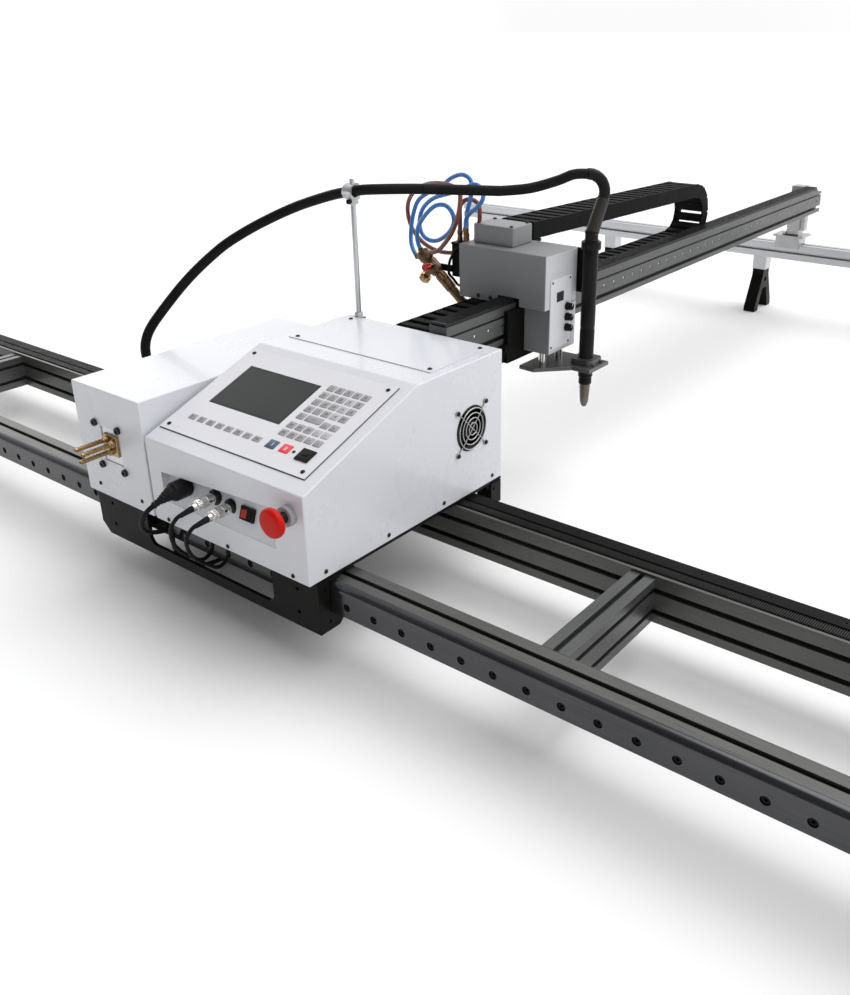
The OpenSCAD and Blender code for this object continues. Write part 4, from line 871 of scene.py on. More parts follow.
# wall plug at the far end of the lead, lying by the coil
g = Geo()
g.lathe([(0, -466), (12.5, -466), (14.4, -465), (15.4, -462.5), (15.4, -446), (14.2, -441), (14.2, -434), (12.6, -430.5), (9.2, -428),
         (8.2, -424.5), (8.6, -423), (7.2, -421.4), (7.6, -419.6), (6.4, -418), (6.8, -416), (5.6, -414.4), (6.0, -412.6), (5.0, -410.8), (5.3, -409), (4.4, -405)],
        (0, 288, -133.15), (1, 0, 0), 36)
for y in (278.5, 297.5):
    g.lathe([(0, -485), (1.6, -484.6), (2.4, -482.6), (2.4, -465.5)], (0, y, -133.15), (1, 0, 0), 20, 1)
wall = g.obj("mains_wall_plug", ["plastic", "nickel"], "carriage", angle=32, slot="black_rubber")
o = Geo().tube(lead_path, 3.75, 10).obj("mains_lead_cord", "rubber", "carriage", ["mains_lead", "lead_coil"], angle=60, slot="black_rubber")
for nm, pts in (("a", hose_pts), ("ga", [G(p) for p in gas_a]), ("gb", [G(p) for p in gas_b]), ("gc", [G(p) for p in gas_c]), ("gi", [G(p) for p in ignite]), ("sa", sig_a), ("sb", sig_b)):
    print(nm, round(run(catmull(pts, 4)) / 1000, 3))
# tie round the coil
g = Geo()
for a in (2.2, 4.9):
    ring = []
    for k in range(24):
        q = 2 * math.pi * k / 24
        rr = 45 + 13.6 * max(-1, min(1, 1.25 * math.cos(q)))
        zz = -136.55 + 12.0 * max(-0.97, min(1, 1.25 * math.sin(q)))
        ring.append((cc.x + rr * math.cos(a), cc.y + rr * math.sin(a), zz))
    g.tube(ring, 1.1, 8, closed=True)
tie = g.obj("coil_ties", "plastic", "carriage", angle=60)

# two plated signal plugs with knurled rings and tapered cable tails
g = Geo()
for (x, z) in ((-199, 74), (-166, 68)):
    g.lathe([(9.2, 14), (12.2, 14), (12.2, 9.0), (11.4, 8.2), (8.7, 8.2)], (x, 0, z), (0, 1, 0), 48, 1)
    g.lathe([(7.9, 17.5), (7.9, 4), (8.9, 3.6), (8.9, 0.2), (8.3, -0.2), (8.3, -6)], (x, 0, z), (0, 1, 0), 64)
    g.lathe([(7.2, -5.8), (8.9, -6.3), (9.0, -7.2, 0.7), (9.0, -14.5, 0.7), (8.7, -15.4), (7.4, -15.6), (7.4, -17.2), (8.7, -17.6), (8.8, -18.2, 0.6), (8.8, -22.6, 0.6), (8.2, -23.9), (6.2, -24.3)],
            (x, 0, z), (0, 1, 0), 96, 0, 24)
    g.lathe([(6.3, -23.6), (6.3, -27), (5.4, -29.5), (5.4, -31)], (x, 0, z - 1), (0, 1, 0), 48)
    g.tube(catmull([(x, -28, z - 1.6), (x - 0.5, -34, z - 2.6), (x - 2, -40, z - 4.2), (x - 6, -49, z - 8)], 6), lambda t: 5.2 - 1.7 * t + 0.25 * math.cos(t * 60), 20, 1)
g.obj("signal_plug_bodies", ["nickel", "plastic"], "carriage", ["signal_plugs"], angle=30, slot="nickel")

# rocker switch
g = Geo()


def tray_box(g, x, z, u0, u1, w0, w1, n0, n1, mi=0, taper=0.0):
    v = []
    for n, tt in ((n0, 0), (n1, taper)):
        v += [on_tray(x, z, u, w, n) for u, w in ((u0 + tt, w0 + tt), (u1 - tt, w0 + tt), (u1 - tt, w1 - tt), (u0 + tt, w1 - tt))]
    return g.add(v, [(3, 2, 1, 0), (4, 5, 6, 7), (0, 1, 5, 4), (1, 2, 6, 5), (2, 3, 7, 6), (3, 0, 4, 7)], mi)


for u0, u1, w0, w1 in ((-14, -9.6, -10, 10), (9.6, 14, -10, 10), (-9.7, 9.7, 6.7, 10), (-9.7, 9.7, -10, -6.7)):
    tray_box(g, -127, 69, u0, u1, w0, w1, -1, 4)
for u0, u1, w0, w1 in ((-11.6, -9.6, -7.9, 7.9), (9.6, 11.6, -7.9, 7.9), (-9.7, 9.7, 6.7, 7.9), (-9.7, 9.7, -7.9, -6.7)):
    tray_box(g, -127, 69, u0, u1, w0, w1, -25, -0.5)
tray_box(g, -127, 69, -11.6, 11.6, -7.9, 7.9, -26, -23)
g.obj("rocker_housing", "plastic", "carriage", ["rocker_frame"], edge=0.6, slot="black_plastic")
g = Geo()
pl = lambda a, b, h: on_tray(-127, 69, a, h, -b)
g.prism([(-7.7, -7.5), (-6.2, -7.0), (-3.2, -5.5), (0, -4.4), (0, 12), (-7, 6)], pl, -6.3, 6.3, 0)
g.prism([(0.05, -4.4), (3, -3.9), (6, -3.9), (8.9, -4.2), (7, 6), (0.05, 12)], pl, -6.3, 6.3, 1)
g.obj("rocker_cap", ["rocker_red", "plastic"], "rocker", ["rocker_button"], edge=0.5, slot="red_plastic")

# emergency stop: collar, stem and a dished mushroom head
g = Geo()
g.lathe([(8.3, -10), (13.8, -10), (14.7, -9.3), (15, -8.2), (15, -1.2), (14.6, 0), (11, 0), (11, 34), (8.3, 34), (8.3, -10)], (-28, 0, 104), (0, 1, 0), 56)
g.obj("stop_collar_ring", "grey_plastic", "carriage", ["estop_collar"], angle=35, slot="grey_plastic")
g = Geo()
g.lathe([(4.3, -16), (7.2, -16), (7.9, -15), (7.9, 29), (7.2, 30), (4.3, 30), (4.3, -16)], (-28, 0, 104), (0, 1, 0), 40)
g.obj("stop_stem_tube", "plastic", "stop_stem", ["estop_stem"], angle=35, slot="black_plastic")
g = Geo()
g.lathe([(0, -37.9), (8, -37.8), (14, -37.4), (17.6, -36.6), (20.0, -35.2), (21.2, -33.2), (21.5, -31), (21.4, -28.4), (20.6, -26.2), (19.0, -24.8), (16.6, -24.5), (13.2, -24.5), (12.8, -20.6), (12, -20.3), (4, -20.3), (4, 15), (0, 15)],
        (-28, 0, 104), (0, 1, 0), 72)
g.obj("stop_head_mushroom", "red", "stop_head", ["estop_head"], angle=35, slot="red_plastic")

# ---------------------------------------------------------------- fan
g = Geo()
FY, FZ = 364, 114.4


def ringx(x, r, n=64):
    return [(x, FY + r * math.cos(2 * math.pi * k / n), FZ + r * math.sin(2 * math.pi * k / n)) for k in range(n)]


for r in (10, 18, 26, 34):
    g.tube(ringx(3.0, r), 1.0, 10, closed=True)
for a in (45, 135):
    c, s = math.cos(math.radians(a)), math.sin(math.radians(a))
    path = []
    for i in range(-12, 13):
        q = i / 12 * 50
        path.append((1.6 + (0.2 if abs(q) < 36 else -0.2), FY + q * c, FZ + q * s))
    g.tube(path, 1.0, 10)
for s in (-1, 1):
    for t in (-1, 1):
        g.tube([(1.2, FY + s * 35.75 + 4.1 * math.cos(2 * math.pi * k / 20), FZ + t * 35.75 + 4.1 * math.sin(2 * math.pi * k / 20)) for k in range(20)], 1.0, 8, closed=True)
g.obj("fan_finger_guard", "steel", "carriage", angle=60)
# fan housing: square flange, round duct and struts
g = Geo()
sq = []
for sx, sv, a0 in ((1, 1, 0), (-1, 1, 90), (-1, -1, 180), (1, -1, 270)):
    for i in range(6):
        a = math.radians(a0 + i * 18)
        sq.append((sx * 36 + 4 * math.cos(a), sv * 36 + 4 * math.sin(a)))
n = len(sq)
circ = []
for a, b2 in sq:
    an = math.atan2(b2, a)
    circ.append((38 * math.cos(an), 38 * math.sin(an)))
for x0, x1 in ((-27.5, -23.5), (-5.5, -1.6)):
    v = []
    for x in (x0, x1):
        v += [(x, FY + a, FZ + b2) for a, b2 in sq] + [(x, FY + a, FZ + b2) for a, b2 in circ]
    f = []
    for i in range(n):
        j = (i + 1) % n
        f += [(i, j, n + j, n + i), (2 * n + i, 3 * n + i, 3 * n + j, 2 * n + j), (i, 2 * n + i, 2 * n + j, j), (n + i, n + j, 3 * n + j, 3 * n + i)]
    g.add(v, f)
g.lathe([(38, -27.4), (39.6, -27.4), (39.6, -1.8), (38, -1.8), (38, -27.4)], (0, FY, FZ), (1, 0, 0), 64)
g.lathe([(16.8, -27.5), (16.8, -23.6), (0, -23.6)], (0, FY, FZ), (1, 0, 0), 40)
for a in (20, 110, 200, 290):
    c, s = math.cos(math.radians(a)), math.sin(math.radians(a))
    v = []
    for r, w in ((15, 2.4), (38.4, 1.8)):
        for q in (-w, w):
            for x in (-27.4, -23.8):
                v.append((x, FY + r * c - q * s, FZ + r * s + q * c))
    g.add(v, [(0, 1, 3, 2), (4, 6, 7, 5), (0, 4, 5, 1), (2, 3, 7, 6), (0, 2, 6, 4), (1, 5, 7, 3)])
g.obj("fan_housing", "plastic", "carriage", ["fan_frame"], angle=35, slot="black_plastic")
g = Geo()
g.lathe([(0, -4.6), (13, -4.6), (15.6, -5.4), (16.4, -7.5), (16.4, -22.4), (0, -22.4)], (0, FY, FZ), (1, 0, 0), 48)
for b7 in range(7):
    a0 = 2 * math.pi * b7 / 7
    v, f = [], []
    NR, NC = 7, 6
    for side in (0, 1):
        for i in range(NR):
            r = 15.8 + (36.2 - 15.8) * i / (NR - 1)
            for j in range(NC):
                t = j / (NC - 1) - 0.5
                an = a0 + t * (0.80 - 0.15 * i / NR) + 0.10 * i / NR
                xx = -13.5 + t * 15.5 - 2.4 * (1 - 4 * t * t) + (0.55 if side else -0.55)
                v.append((xx, FY + r * math.cos(an), FZ + r * math.sin(an)))
    k = NR * NC
    for i in range(NR - 1):
        for j in range(NC - 1):
            q = i * NC + j
            f.append((q, q + 1, q + NC + 1, q + NC))
            f.append((k + q, k + q + NC, k + q + NC + 1, k + q + 1))
    edge_loop = [j for j in range(NC)] + [i * NC + NC - 1 for i in range(1, NR)] + [(NR - 1) * NC + j for j in range(NC - 2, -1, -1)] + [i * NC for i in range(NR - 2, 0, -1)]
    for q, w2 in zip(edge_loop, edge_loop[1:] + edge_loop[:1]):
        f.append((q, w2, k + w2, k + q))
    g.add(v, f)
g.obj("fan_blades", "plastic", "fan", ["fan_rotor"], angle=40, slot="black_plastic")

# ---------------------------------------------------------------- gas manifold
g = Geo()
g.box((-452, 6, 78), (-412, 34, 120))
g.obj("manifold_block", "brass", "carriage", edge=1.6, seg=3, slot="brass")
g = Geo()
g.box((-476, 1.6, 48), (-392, 5.9, 140))
g.obj("manifold_plate", "alu_z", "carriage", edge=0.4)
g = Geo()
g.box((-449, -2.2, 82), (-415, 1.9, 117))
g.obj("manifold_face", "brass", "carriage", edge=1.2, seg=3)
g = Geo()
for (x, z) in ((-440, 108), (-424, 104), (-432, 90)):
    g.lathe([(7.2, 6.2), (7.2, 4.6), (6.4, 4.2)], (x, 0, z), (0, 1, 0), 32)
    g.lathe([(7.3, 4.4), (7.3, -5.6), (6.3, -7.6), (4.4, -7.8)], (x, 0, z), (0, 1, 0), 6)
    prof = [(4.4, -7.0), (4.0, -9)]
    y = -11
    while y > -50:
        prof += [(3.35, y), (4.0, y - 3.6), (4.0, y - 4.2), (3.35, y - 4.6)]
        y -= 6.2
    prof += [(3.4, -53), (3.0, -56.8), (2.1, -57), (2.1, -30), (0, -30)]
    g.lathe(prof, (x, 0, z), (0, 1, 0), 32)
g.obj("manifold_barbs", "brass", "carriage", ["gas_manifold"], angle=30, slot="brass")

# ---------------------------------------------------------------- hose pole and clamp
g = Geo()
g.lathe([(4.5, 225.6), (4.5, 460), (3.9, 461.5), (0, 461.5)], (-313, 446, 0), (0, 0, 1), 32)
g.lathe([(7.5, 225.5), (7.5, 231.5), (6.8, 232.5), (4.5, 232.5)], (-313, 446, 0), (0, 0, 1), 6)
g.box((-325, 437, 224.1), (-301, 450.4, 225.5))
g.box((-325, 446.2, 200), (-301, 450.4, 225.4))
g.obj("hose_pole_rod", "alu_z", "carriage", ["hose_pole"], angle=35, slot="bright_aluminium")
g = Geo()
n = 40
for x0, x1, ro in ((-323, -303, 12.4), (-322.2, -318.5, 13.0), (-307.5, -303.8, 13.0)):
    v = []
    for x in (x0, x1):
        for r in (8.9, ro):
            v += [(x, 442 + r * math.cos(2 * math.pi * i / n), 441 + r * math.sin(2 * math.pi * i / n)) for i in range(n)]
    f = []
    for i in range(n):
        j = (i + 1) % n
        f += [(i, j, n + j, n + i), (2 * n + i, 3 * n + i, 3 * n + j, 2 * n + j), (n + i, n + j, 3 * n + j, 3 * n + i), (i, 2 * n + i, 2 * n + j, j)]
    g.add(v, f)
g.box((-321, 451.5, 428), (-305, 455, 454))
g.box((-320, 437, 420), (-306, 452, 430))
g.obj("hose_clamp", "alu_z", "carriage", ["hose_mounts"], angle=35, slot="bright_aluminium")
g = Geo()
screw(g, (-313, 437.2, 425), (0, -1, 0), 4.2, 4, kind="cap")
screw(g, (-313, 455, 441), (0, 1, 0), 4.2, 3.2, kind="hex")
g.lathe([(17, -521), (17, -519.2), (15.2, -519)], (0, 210, 104), (1, 0, 0), 40)
g.lathe([(15, -531), (15, -520)], (0, 210, 104), (1, 0, 0), 6)
g.lathe([(13.2, -530), (13.6, -534), (13.2, -539, 0.7), (11.6, -543, 0.7), (9.3, -547), (8.9, -547)], (0, 210, 104), (1, 0, 0), 60, 0, 12)
g.lathe([(11.9, -520), (11.9, -511), (13.6, -511), (13.6, -514)], (0, 210, 104), (1, 0, 0), 40)
g.obj("hose_gland", "plastic", "carriage", angle=32, slot="black_plastic")

# ---------------------------------------------------------------- cross beam and chain
soften("cross_beam", "beam_y", 0.6)
rack("beam_rack_teeth", ["beam_rack"], "carriage", "y", 399, 2091, -108, -78, 256, 260.0, 262, math.pi, 700.0, gantry=True)
soften("chain_tray", "black", 0.5)
soften("end_truck", "steel", 0.8)
LK = 30.0
CX = -150.0


def chain_link(g, y, z, ang, k):
    c, s = math.cos(ang), math.sin(ang)

    def put(a, n, x):
        return (CX + x, y + a * c - n * s, z + a * s + n * c)

    hp = LK / 2
    off = 0.12 * (k % 2)
    for side in (-1, 1):
        pts = []
        for sx, sn, a0 in ((1, 1, 0), (-1, 1, 90), (-1, -1, 180), (1, -1, 270)):
            for i in range(4):
                a = math.radians(a0 + 30 * i)
                pts.append((sx * (hp + 1.6 - 3) + 3 * math.cos(a), sn * (15 - off - 3) + 3 * math.sin(a)))
        g.prism(pts, lambda a, n, x: put(a, n, x), side * 33.0, side * (36.0 - off))
        pts = [(-hp + 11.5 * math.cos(2 * math.pi * i / 20), 11.5 * math.sin(2 * math.pi * i / 20)) for i in range(20)]
        g.prism(pts, lambda a, n, x: put(a, n, x), side * 30.6, side * 33.2)
    for n0, n1 in ((11.4, 14.6), (-14.6, -11.4)):
        b0, b1 = (n0, n1)
        lid = [(-8.6, b0), (8.6, b0), (8.6, b1 - (1.2 if b1 > 0 else 0)), (7.4, b1), (-7.4, b1), (-8.6, b1 - (1.2 if b1 > 0 else 0))]
        if b1 < 0:
            lid = [(-7.4, b0), (7.4, b0), (8.6, b0 + 1.2), (8.6, b1), (-8.6, b1), (-8.6, b0 + 1.2)]
        g.prism(lid, lambda a, n, x: put(a, n, x), -33.1, 33.1, 1)


LZ = 284.5
RB = 56.5
g = Geo()
y = 402.5 + 15
k = 0
while y < 1370 - 10:
    chain_link(g, y, 228, 0, k)
    y += LK
    k += 1
lower = g.obj("chain_lower_links", ["chain", "chain_bar"], angle=30, slot="black_plastic", gantry=True)
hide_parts("chain_lower")
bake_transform(lower)
g = Geo()
nb = 6
for i in range(nb):
    a = -math.pi / 2 + math.pi * (i + 0.5) / nb
    rr = RB * math.cos(math.pi / nb / 2) + 0.2
    chain_link(g, 1370 + rr * math.cos(a), LZ + rr * math.sin(a), a + math.pi / 2, i)
g.obj("chain_bend_links", ["chain", "chain_bar"], "chain_bend", ["chain_loop"], angle=30, slot="black_plastic")
g = Geo()
up0, up1 = Vector((0, 1370, LZ + RB)), Vector((0, 700, 357))
L_up = (up1 - up0).length
nu = int(round(L_up / LK))
d = (up1 - up0) / nu
for i in range(nu):
    c = up0 + d * (i + 0.5)
    chain_link(g, c.y, c.z, math.atan2(d.z, d.y), i)
upper = g.obj("chain_upper_links", ["chain", "chain_bar"], "lifter", ["chain_upper"], angle=30, slot="black_plastic")
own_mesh(upper)

# ---------------------------------------------------------------- torch lifter
soften("lifter_truck", "black", 0.8)
g = Geo()
g.box((-183, 612, 343.5), (-99, 672, 377))
g.obj("cross_motor_cover", "grey", "lifter", edge=2.2, seg=3, slot="grey_paint")
g = Geo()
g.lathe([(6, 270.3), (6, 344)], (-106, 642, 0), (0, 0, 1), 32)
g.lathe([(9.4, 270.4, 1.4), (9.4, 281, 1.4)], (-106, 642, 0), (0, 0, 1), 64, 0, 16)
g.obj("cross_motor_shaft", "steel", "lifter", ["cross_motor"], angle=32)
g = Geo()
for p in ((-176, 618), (-176, 666), (-106, 618), (-106, 666)):
    screw(g, (p[0], p[1], 376.6), (0, 0, 1), 3.4, 2.4, kind="cap")
screw(g, (-155, 588.1, 257), (0, -1, 0), 3.6, 1.9)
screw(g, (-128, 588.1, 257), (0, -1, 0), 3.6, 1.9)
for p in ((608.5, 181), (663.5, 181), (608.5, 295), (663.5, 295)):
    screw(g, (-12, p[0], p[1]), (1, 0, 0), 2.2, 1.1)
g.obj("lifter_screws", "oxide", "lifter", angle=32, slot="black_steel")

g = Geo()
for i in range(-1, 43):
    y = 472.5 + i * 38.5
    if y < 2086:
        g.lathe([(0.01, 0), (2.9, 0), (2.9, 1.2), (2.3, 1.9), (0.01, 2.2)], (-77.6, y, 224), (1, 0, 0), 20)
g.obj("beam_screws", "nickel", "carriage", angle=32, gantry=True, slot="rail_steel")

box = Geo().box((-198, 588, 249), (-14, 689, 343.5)).obj("lifter_box_shell", ["grey", "grey_painted_lit"], angle=180, gantry=True)
b = box.modifiers.new("edge", "BEVEL")
b.width = 0.0024
b.segments = 3
b.limit_method = "ANGLE"
bake(box)
e1 = Geo().box((-196, 590, 243), (-16, 687, 341.5)).obj("e1", "grey", gantry=True)
e2 = Geo().lathe([(7, 0), (7, 12)], (-106, 642, 336), (0, 0, 1), 32).obj("e2", "grey", gantry=True)
e3 = Geo().box((-118, 684, 240), (-66.95, 695, 271.5)).obj("e3", "grey", gantry=True)
e5 = Geo().box((-113.5, 580, 240), (-66.95, 592, 264)).obj("e5", "grey", gantry=True)
cut_out(box, [e1, e2, e3, e5])
shade(box)
# painted light: the box's right-facing sides take the lighter grey tone
paint_lit_side(box)
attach(box, "lifter")
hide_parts("lifter_box")
col = Geo().box((-66.9, 604, 168), (-14, 689, 249.3)).obj("lifter_column_shell", ["grey", "grey_painted_lit"], angle=180, gantry=True)
b = col.modifiers.new("edge", "BEVEL")
b.width = 0.0020
b.segments = 3
b.limit_method = "ANGLE"
bake(col)
e4 = Geo().box((-64.9, 606, 160), (-16, 687, 260)).obj("e4", "grey", gantry=True)
cut_out(col, [e4])
shade(col)
# painted light: the column's right-facing side takes the lighter grey tone
paint_lit_side(col)
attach(col, "lifter")
# control plate with display and scales
g = Geo()
g.box((-14.2, 603, 176), (-12, 669, 300))
g.obj("lifter_control_plate", "panel", "lifter", ["control_plate"], edge=0.6, slot="white_paint")
g = Geo()
g.box((-12.3, 622, 259), (-11.6, 644, 276))
g.obj("lifter_display_frame", "bezel", "lifter", edge=0.25)
g = Geo()
g.box((-11.9, 623.5, 260.5), (-11.45, 642.5, 274.5))
g.obj("lifter_display_glass", "glass", "lifter", edge=0.1)
g = Geo()
for zc in (246, 227, 208):
    for i in range(11):
        a = math.radians(-135 + 27 * i + 90)
        c, s = math.cos(a), math.sin(a)
        r0, r1 = 8.6, 10.2
        v = []
        for x in (-12.1, -11.85):
            for r, q in ((r0, -0.22), (r1, -0.22), (r1, 0.22), (r0, 0.22)):
                v.append((x, 655 + r * c - q * s, zc + r * s + q * c))
        g.add(v, [(3, 2, 1, 0), (4, 5, 6, 7), (0, 1, 5, 4), (1, 2, 6, 5), (2, 3, 7, 6), (3, 0, 4, 7)])
g.obj("lifter_scales", "print", "lifter", angle=30)
for nm, body, zc in (("knob_upper", "upper_knob", 246), ("knob_middle", "middle_knob", 227), ("knob_lower", "lower_knob", 208)):
    g = Geo()
    g.lathe([(0, -22), (3, -22), (3, -11.6), (7.0, -11.4), (7.0, -9.2), (6.5, -8.4), (6.4, -7.6, 0.6), (6.0, -1.4, 0.6), (5.5, -0.4), (4.6, 0.1), (4.2, -0.3), (0, -0.4)], (0, 655, zc), (1, 0, 0), 72, 0, 18)
    v = []
    for x, w in ((-0.35, 0.45), (0.15, 0.45)):
        v += [(x, 655 - w, zc + 1.0), (x, 655 + w, zc + 1.0), (x, 655 + w, zc + 5.2), (x, 655 - w, zc + 5.2)]
    g.add(v, [(3, 2, 1, 0), (4, 5, 6, 7), (0, 1, 5, 4), (1, 2, 6, 5), (2, 3, 7, 6), (3, 0, 4, 7)], 1)
    g.obj(nm + "_turned", ["plastic", "print_white"], body, [nm], angle=32, slot="black_plastic")

# slide: rods, arm and clamp
g = Geo()
for y in (619, 672):
    g.lathe([(0, 143.6), (7, 143.6), (7, 312.6), (6.2, 313.6), (0, 313.6)], (-36, y, 0), (0, 0, 1), 40)
g.obj("slide_rods", "nickel", "torch_lift", angle=35, slot="rail_steel")
g = Geo()
g.prism([(-66, 590), (-34, 588), (14, 638), (50, 638), (50, 704), (-66, 704)], lambda a, b2, h: (a, b2, h), 137, 144)
g.box((-44, 612, 230), (-28, 679, 238))
g.obj("slide_arm", "clamp", "torch_lift", edge=0.9, slot="rail_steel")
g = Geo()
n = 48
sqp = []
for i in range(n):
    a = 2 * math.pi * i / n + math.pi / 4
    c, s = math.cos(a), math.sin(a)
    t = 22 / max(abs(c), abs(s))
    t = min(t, 27)
    sqp.append((20 + t * c, 675 + t * s))
inn = [(20 + 13.1 * math.cos(2 * math.pi * i / n + math.pi / 4), 675 + 13.1 * math.sin(2 * math.pi * i / n + math.pi / 4)) for i in range(n)]
v, f = [], []
for z in (137.2, 153.5):
    v += [(a, b2, z) for a, b2 in sqp] + [(a, b2, z) for a, b2 in inn]
for i in range(n):
    j = (i + 1) % n
    f += [(i, j, n + j, n + i), (2 * n + i, 3 * n + i, 3 * n + j, 2 * n + j), (i, 2 * n + i, 2 * n + j, j), (n + i, n + j, 3 * n + j, 3 * n + i)]
g.add(v, f)
screw(g, (41.5, 662, 146), (1, 0, 0), 3.2, 3.4, kind="cap")
screw(g, (41.5, 688, 146), (1, 0, 0), 3.2, 3.4, kind="cap")
g.obj("torch_clamp", "clamp", "torch_lift", ["torch_slide"], angle=32, slot="rail_steel")

# machine torch
g = Geo()
T0 = (20, 675, 0)
g.lathe([(2.0, 60.2), (3.6, 60), (5.2, 62.5), (6.9, 67.8), (7.4, 69), (8.6, 84), (9.6, 101), (9.9, 104)], T0, (0, 0, 1), 48, 1)
g.lathe([(10.4, 103.6), (11.6, 105), (11.6, 117.4), (11.0, 118.5)], T0, (0, 0, 1), 48, 0)
g.lathe([(12.0, 117.8), (13, 119), (13, 205), (12.4, 206), (12.4, 209), (13, 210), (13, 344.8), (12.4, 346.2)], T0, (0, 0, 1), 48, 0)
g.lathe([(13, 345.4), (16.4, 345.8), (17, 346.8), (17, 357.6), (16.2, 359), (12, 359.2)], T0, (0, 0, 1), 56, 0)
g.lathe([(12, 359), (12, 362), (11.2, 363), (11.2, 372), (12, 373), (12, 376), (10.8, 378)], T0, (0, 0, 1), 48, 0)
e0 = Vector((12.8, 665.4, 440.3))
uu = Vector((0.7, 0.714, 0))
elbow = [e0 + 30 * (math.cos(math.radians(t)) * uu + math.sin(math.radians(t)) * Vector((0, 0, 1))) for t in range(-16, 91, 6)]
elbow.append(e0 + Vector((0, 0, 30)))
hand = [Vector((20, 675, 372)), Vector((24.2, 678.6, 392)), Vector((28.6, 682.4, 412))]
body_path = hand + elbow


def torch_r(t):
    if t < 0.22:
        return 10.8
    return 10.8 - 1.2 * min(1, (t - 0.22) / 0.3)


path2 = catmull(body_path[:4], 5)
g.tube(path2, lambda t: 11.4 - 1.2 * t, 28, 2)
g.tube(elbow, lambda t: 9.3 + (0.35 if 0.02 < t < 0.9 and int(t * 20) % 2 == 0 else 0.0), 28, 0)
g.obj("machine_torch", ["plastic", "nozzle", "grommet"], "torch_lift", ["plasma_torch"], angle=32, slot="black_plastic")

# ---------------------------------------------------------------- hand torch
A = Vector((-286, 602, 305))
B = Vector((-194.5, 602, 229))
HL = (B - A).length
HD = (B - A) / HL
g = Geo()
g.lathe([(0, -14), (9.5, -14), (11.5, -12.6), (12.8, -10), (12.8, 2), (11.6, 4), (11.6, 10), (12.9, 12), (12.9, 30), (12.0, 35), (10.2, 38.4), (9.0, 40), (9.0, 44)], A, HD, 40, 0)
g.lathe([(9.4, 43), (10.2, 44, 1.3), (10.2, 56, 1.3), (9.4, 57)], A, HD, 72, 1, 12)
g.lathe([(9.4, 56), (10.0, 58), (10.0, 76), (9.2, 78.4), (8.5, 79), (8.4, 96), (8.2, HL - 8.6), (8.6, HL - 8), (9.2, HL - 7.4), (9.2, HL - 1.2), (8.4, HL - 0.2), (4.4, HL), (3.6, HL - 3), (0, HL - 3)], A, HD, 40, 1)
g.obj("hand_torch_body", ["brass_dark", "brass_dull"], "lifter", ["hand_torch"], angle=32, slot="brass")
g = Geo()


def stub(g, a, b, r, mi=0):
    a, b = Vector(a), Vector(b)
    h = (b - a).length
    g.lathe([(r * 0.9, 0), (r, h * 0.15), (r, h * 0.55)], a, b - a, 6, mi)
    g.lathe([(r * 0.95, h * 0.5), (r * 0.8, h * 0.6), (r * 1.02, h * 0.7), (r * 0.8, h * 0.76), (r * 1.02, h * 0.86), (r * 0.85, h * 0.92), (r * 0.98, h)], a, b - a, 28, mi)


stub(g, (-288, 602, 308), gas_a[0], 5.6)
stub(g, (-292, 603, 306), gas_b[0], 5.6)
stub(g, (-280, 599, 302), gas_c[0], 5.6)
g.lathe([(5.5, 583), (5.5, 592), (6.8, 593), (6.8, 602)], (-264, 0, 294), (0, 1, 0), 6)
FU = A + 22 * HD
FA = Vector((HD.z, 0, -HD.x))
g.lathe([(7.6, 0), (7.6, 12), (6.2, 14), (6.2, 23.6)], FU, FA, 6)
for p, top in ((gas_a[-1], 0), (gas_b[-1], 0), (gas_c[-1], 0)):
    z1 = p[2]
    g.lathe([(5.6, 337.9), (5.6, 344)], (p[0], p[1], 0), (0, 0, 1), 6)
    g.lathe([(5.0, 343.5), (4.4, 345), (4.4, z1 - 8), (5.0, z1 - 7), (5.1, z1 - 0.2), (4.4, z1 + 0.6)], (p[0], p[1], 0), (0, 0, 1), 28)
g.obj("hand_torch_fittings", "brass_dull", "lifter", angle=32, slot="brass")
# holder plate
g = Geo()
g.box((-232, 611, 276), (-198.1, 614.8, 334.5))
g.box((-234, 611, 334), (-198.1, 640, 337.9))
g.prism([(-262, 283), (-230, 283), (-230, 295), (-262, 295)], lambda a, b2, h: (a, h, b2), 611, 614.8)
g.prism([(-266, 284), (-256, 284), (-256, 294), (-266, 294)], lambda a, b2, h: (a, h, b2), 603, 614.8)
g.obj("hand_torch_holder", "black", "lifter", edge=0.8, slot="brass")
# valve knobs with fluted rims
g = Geo()
g.lathe([(0, 594.4), (3, 594.4), (3, 582.6), (6.4, 582.6), (7.4, 581.6, 1.1), (7.5, 580.4, 1.3), (7.5, 573, 1.3), (7.2, 571.6, 1.1), (6.0, 570.4), (2.8, 570.2), (2.4, 571.2), (0, 571.3)], (-264, 0, 294), (0, 1, 0), 72, 0, 9)
g.obj("oxygen_valve_knob", "knob_red", "oxygen_valve", ["oxygen_knob"], angle=35, slot="red_plastic")
g = Geo()
g.lathe([(0, 15.2), (3, 15.2), (3, 24.4), (9.0, 24.6), (10.9, 25.8, 2.2), (11.5, 27.2, 2.8), (11.5, 34, 2.8), (10.9, 36, 2.2), (8.8, 37.1), (3.4, 37.3), (2.8, 36.2), (0, 36.1)], FU, FA, 84, 0, 6)
g.obj("fuel_valve_knob", "brass", "fuel_valve", ["fuel_knob"], angle=35, slot="brass")

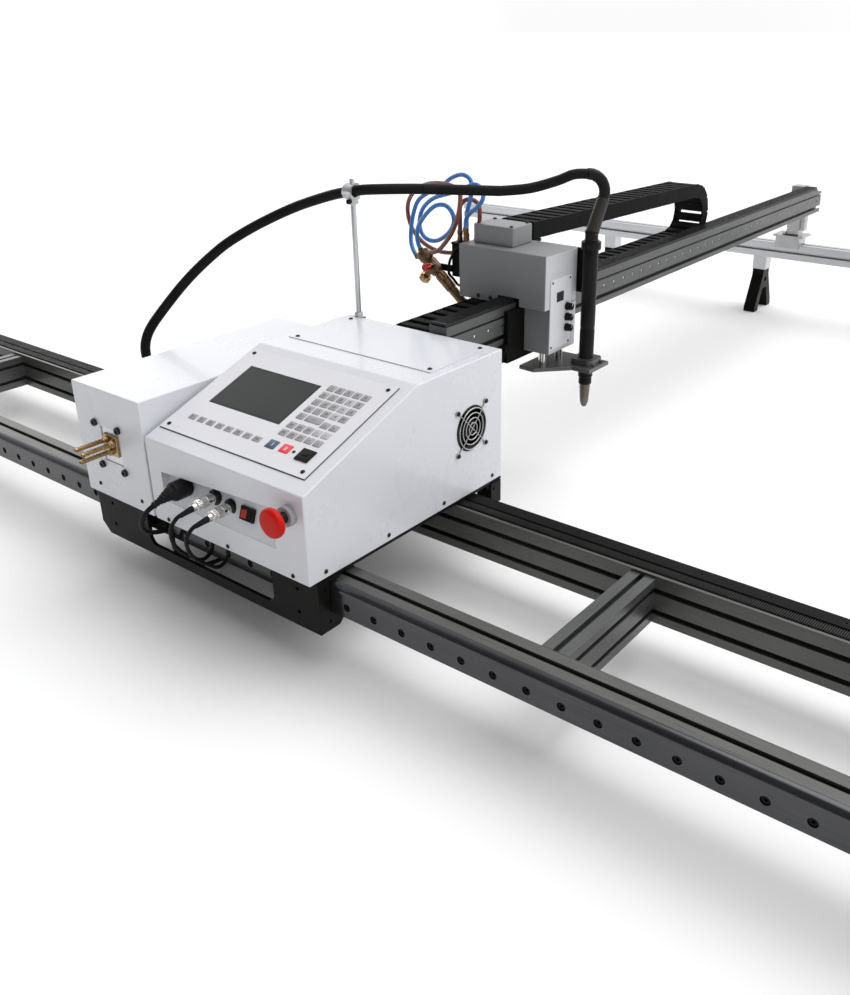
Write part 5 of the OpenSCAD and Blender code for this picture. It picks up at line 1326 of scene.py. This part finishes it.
# ---------------------------------------------------------------- room and light
me = bpy.data.meshes.new("floor")
S = 60.0
me.from_pydata([(-S, -S, -0.0004), (S, -S, -0.0004), (S, S, -0.0004), (-S, S, -0.0004)], [], [(0, 1, 2, 3)])
floor = link(bpy.data.objects.new("floor", me))
fm = material("floor_paint", (0.90, 0.90, 0.90), 0.75, vary=0.01, vscale=0.8, bump=0.05, bscale=60)
me.materials.append(fm)

world = bpy.data.worlds.new("studio")
SCN.world = world
world.use_nodes = True
wn, wl = world.node_tree.nodes, world.node_tree.links
bg = wn["Background"]
tcw = wn.new("ShaderNodeTexCoord")
total = None
for way, lo, hi, gain in (((-0.6, 0.8, 0.0), -0.25, 0.60, 0.82), ((0.95, 0.30, 0.0), -0.10, 0.80, 0.75), ((-0.95, 0.30, 0.05), 0.78, 1.00, 1.10)):
    dot = wn.new("ShaderNodeVectorMath")
    dot.operation = "DOT_PRODUCT"
    wl.new(tcw.outputs["Generated"], dot.inputs[0])
    dot.inputs[1].default_value = way
    mr = wn.new("ShaderNodeMapRange")
    mr.interpolation_type = "SMOOTHSTEP"
    mr.inputs["From Min"].default_value = lo
    mr.inputs["From Max"].default_value = hi
    mr.inputs["To Min"].default_value = 0.0
    mr.inputs["To Max"].default_value = gain
    wl.new(dot.outputs["Value"], mr.inputs["Value"])
    plus = wn.new("ShaderNodeMath")
    plus.operation = "ADD"
    plus.inputs[0].default_value = 0.15
    if total:
        wl.new(total, plus.inputs[0])
    wl.new(mr.outputs["Result"], plus.inputs[1])
    total = plus.outputs[0]
bg.inputs["Color"].default_value = (1.0, 1.0, 1.0, 1)
wl.new(total, bg.inputs["Strength"])
sun_data = bpy.data.lights.new("overhead_light", "SUN")
sun_data.energy = 1.95
sun_data.angle = math.radians(65)
sun = link(bpy.data.objects.new("overhead_light", sun_data))
sun.location = (0, 0, 4)
sun.rotation_euler = Vector((-0.25, -0.33, -1)).to_track_quat("-Z", "Y").to_euler()
SCN.view_settings.view_transform = "Standard"
SCN.view_settings.look = "None"
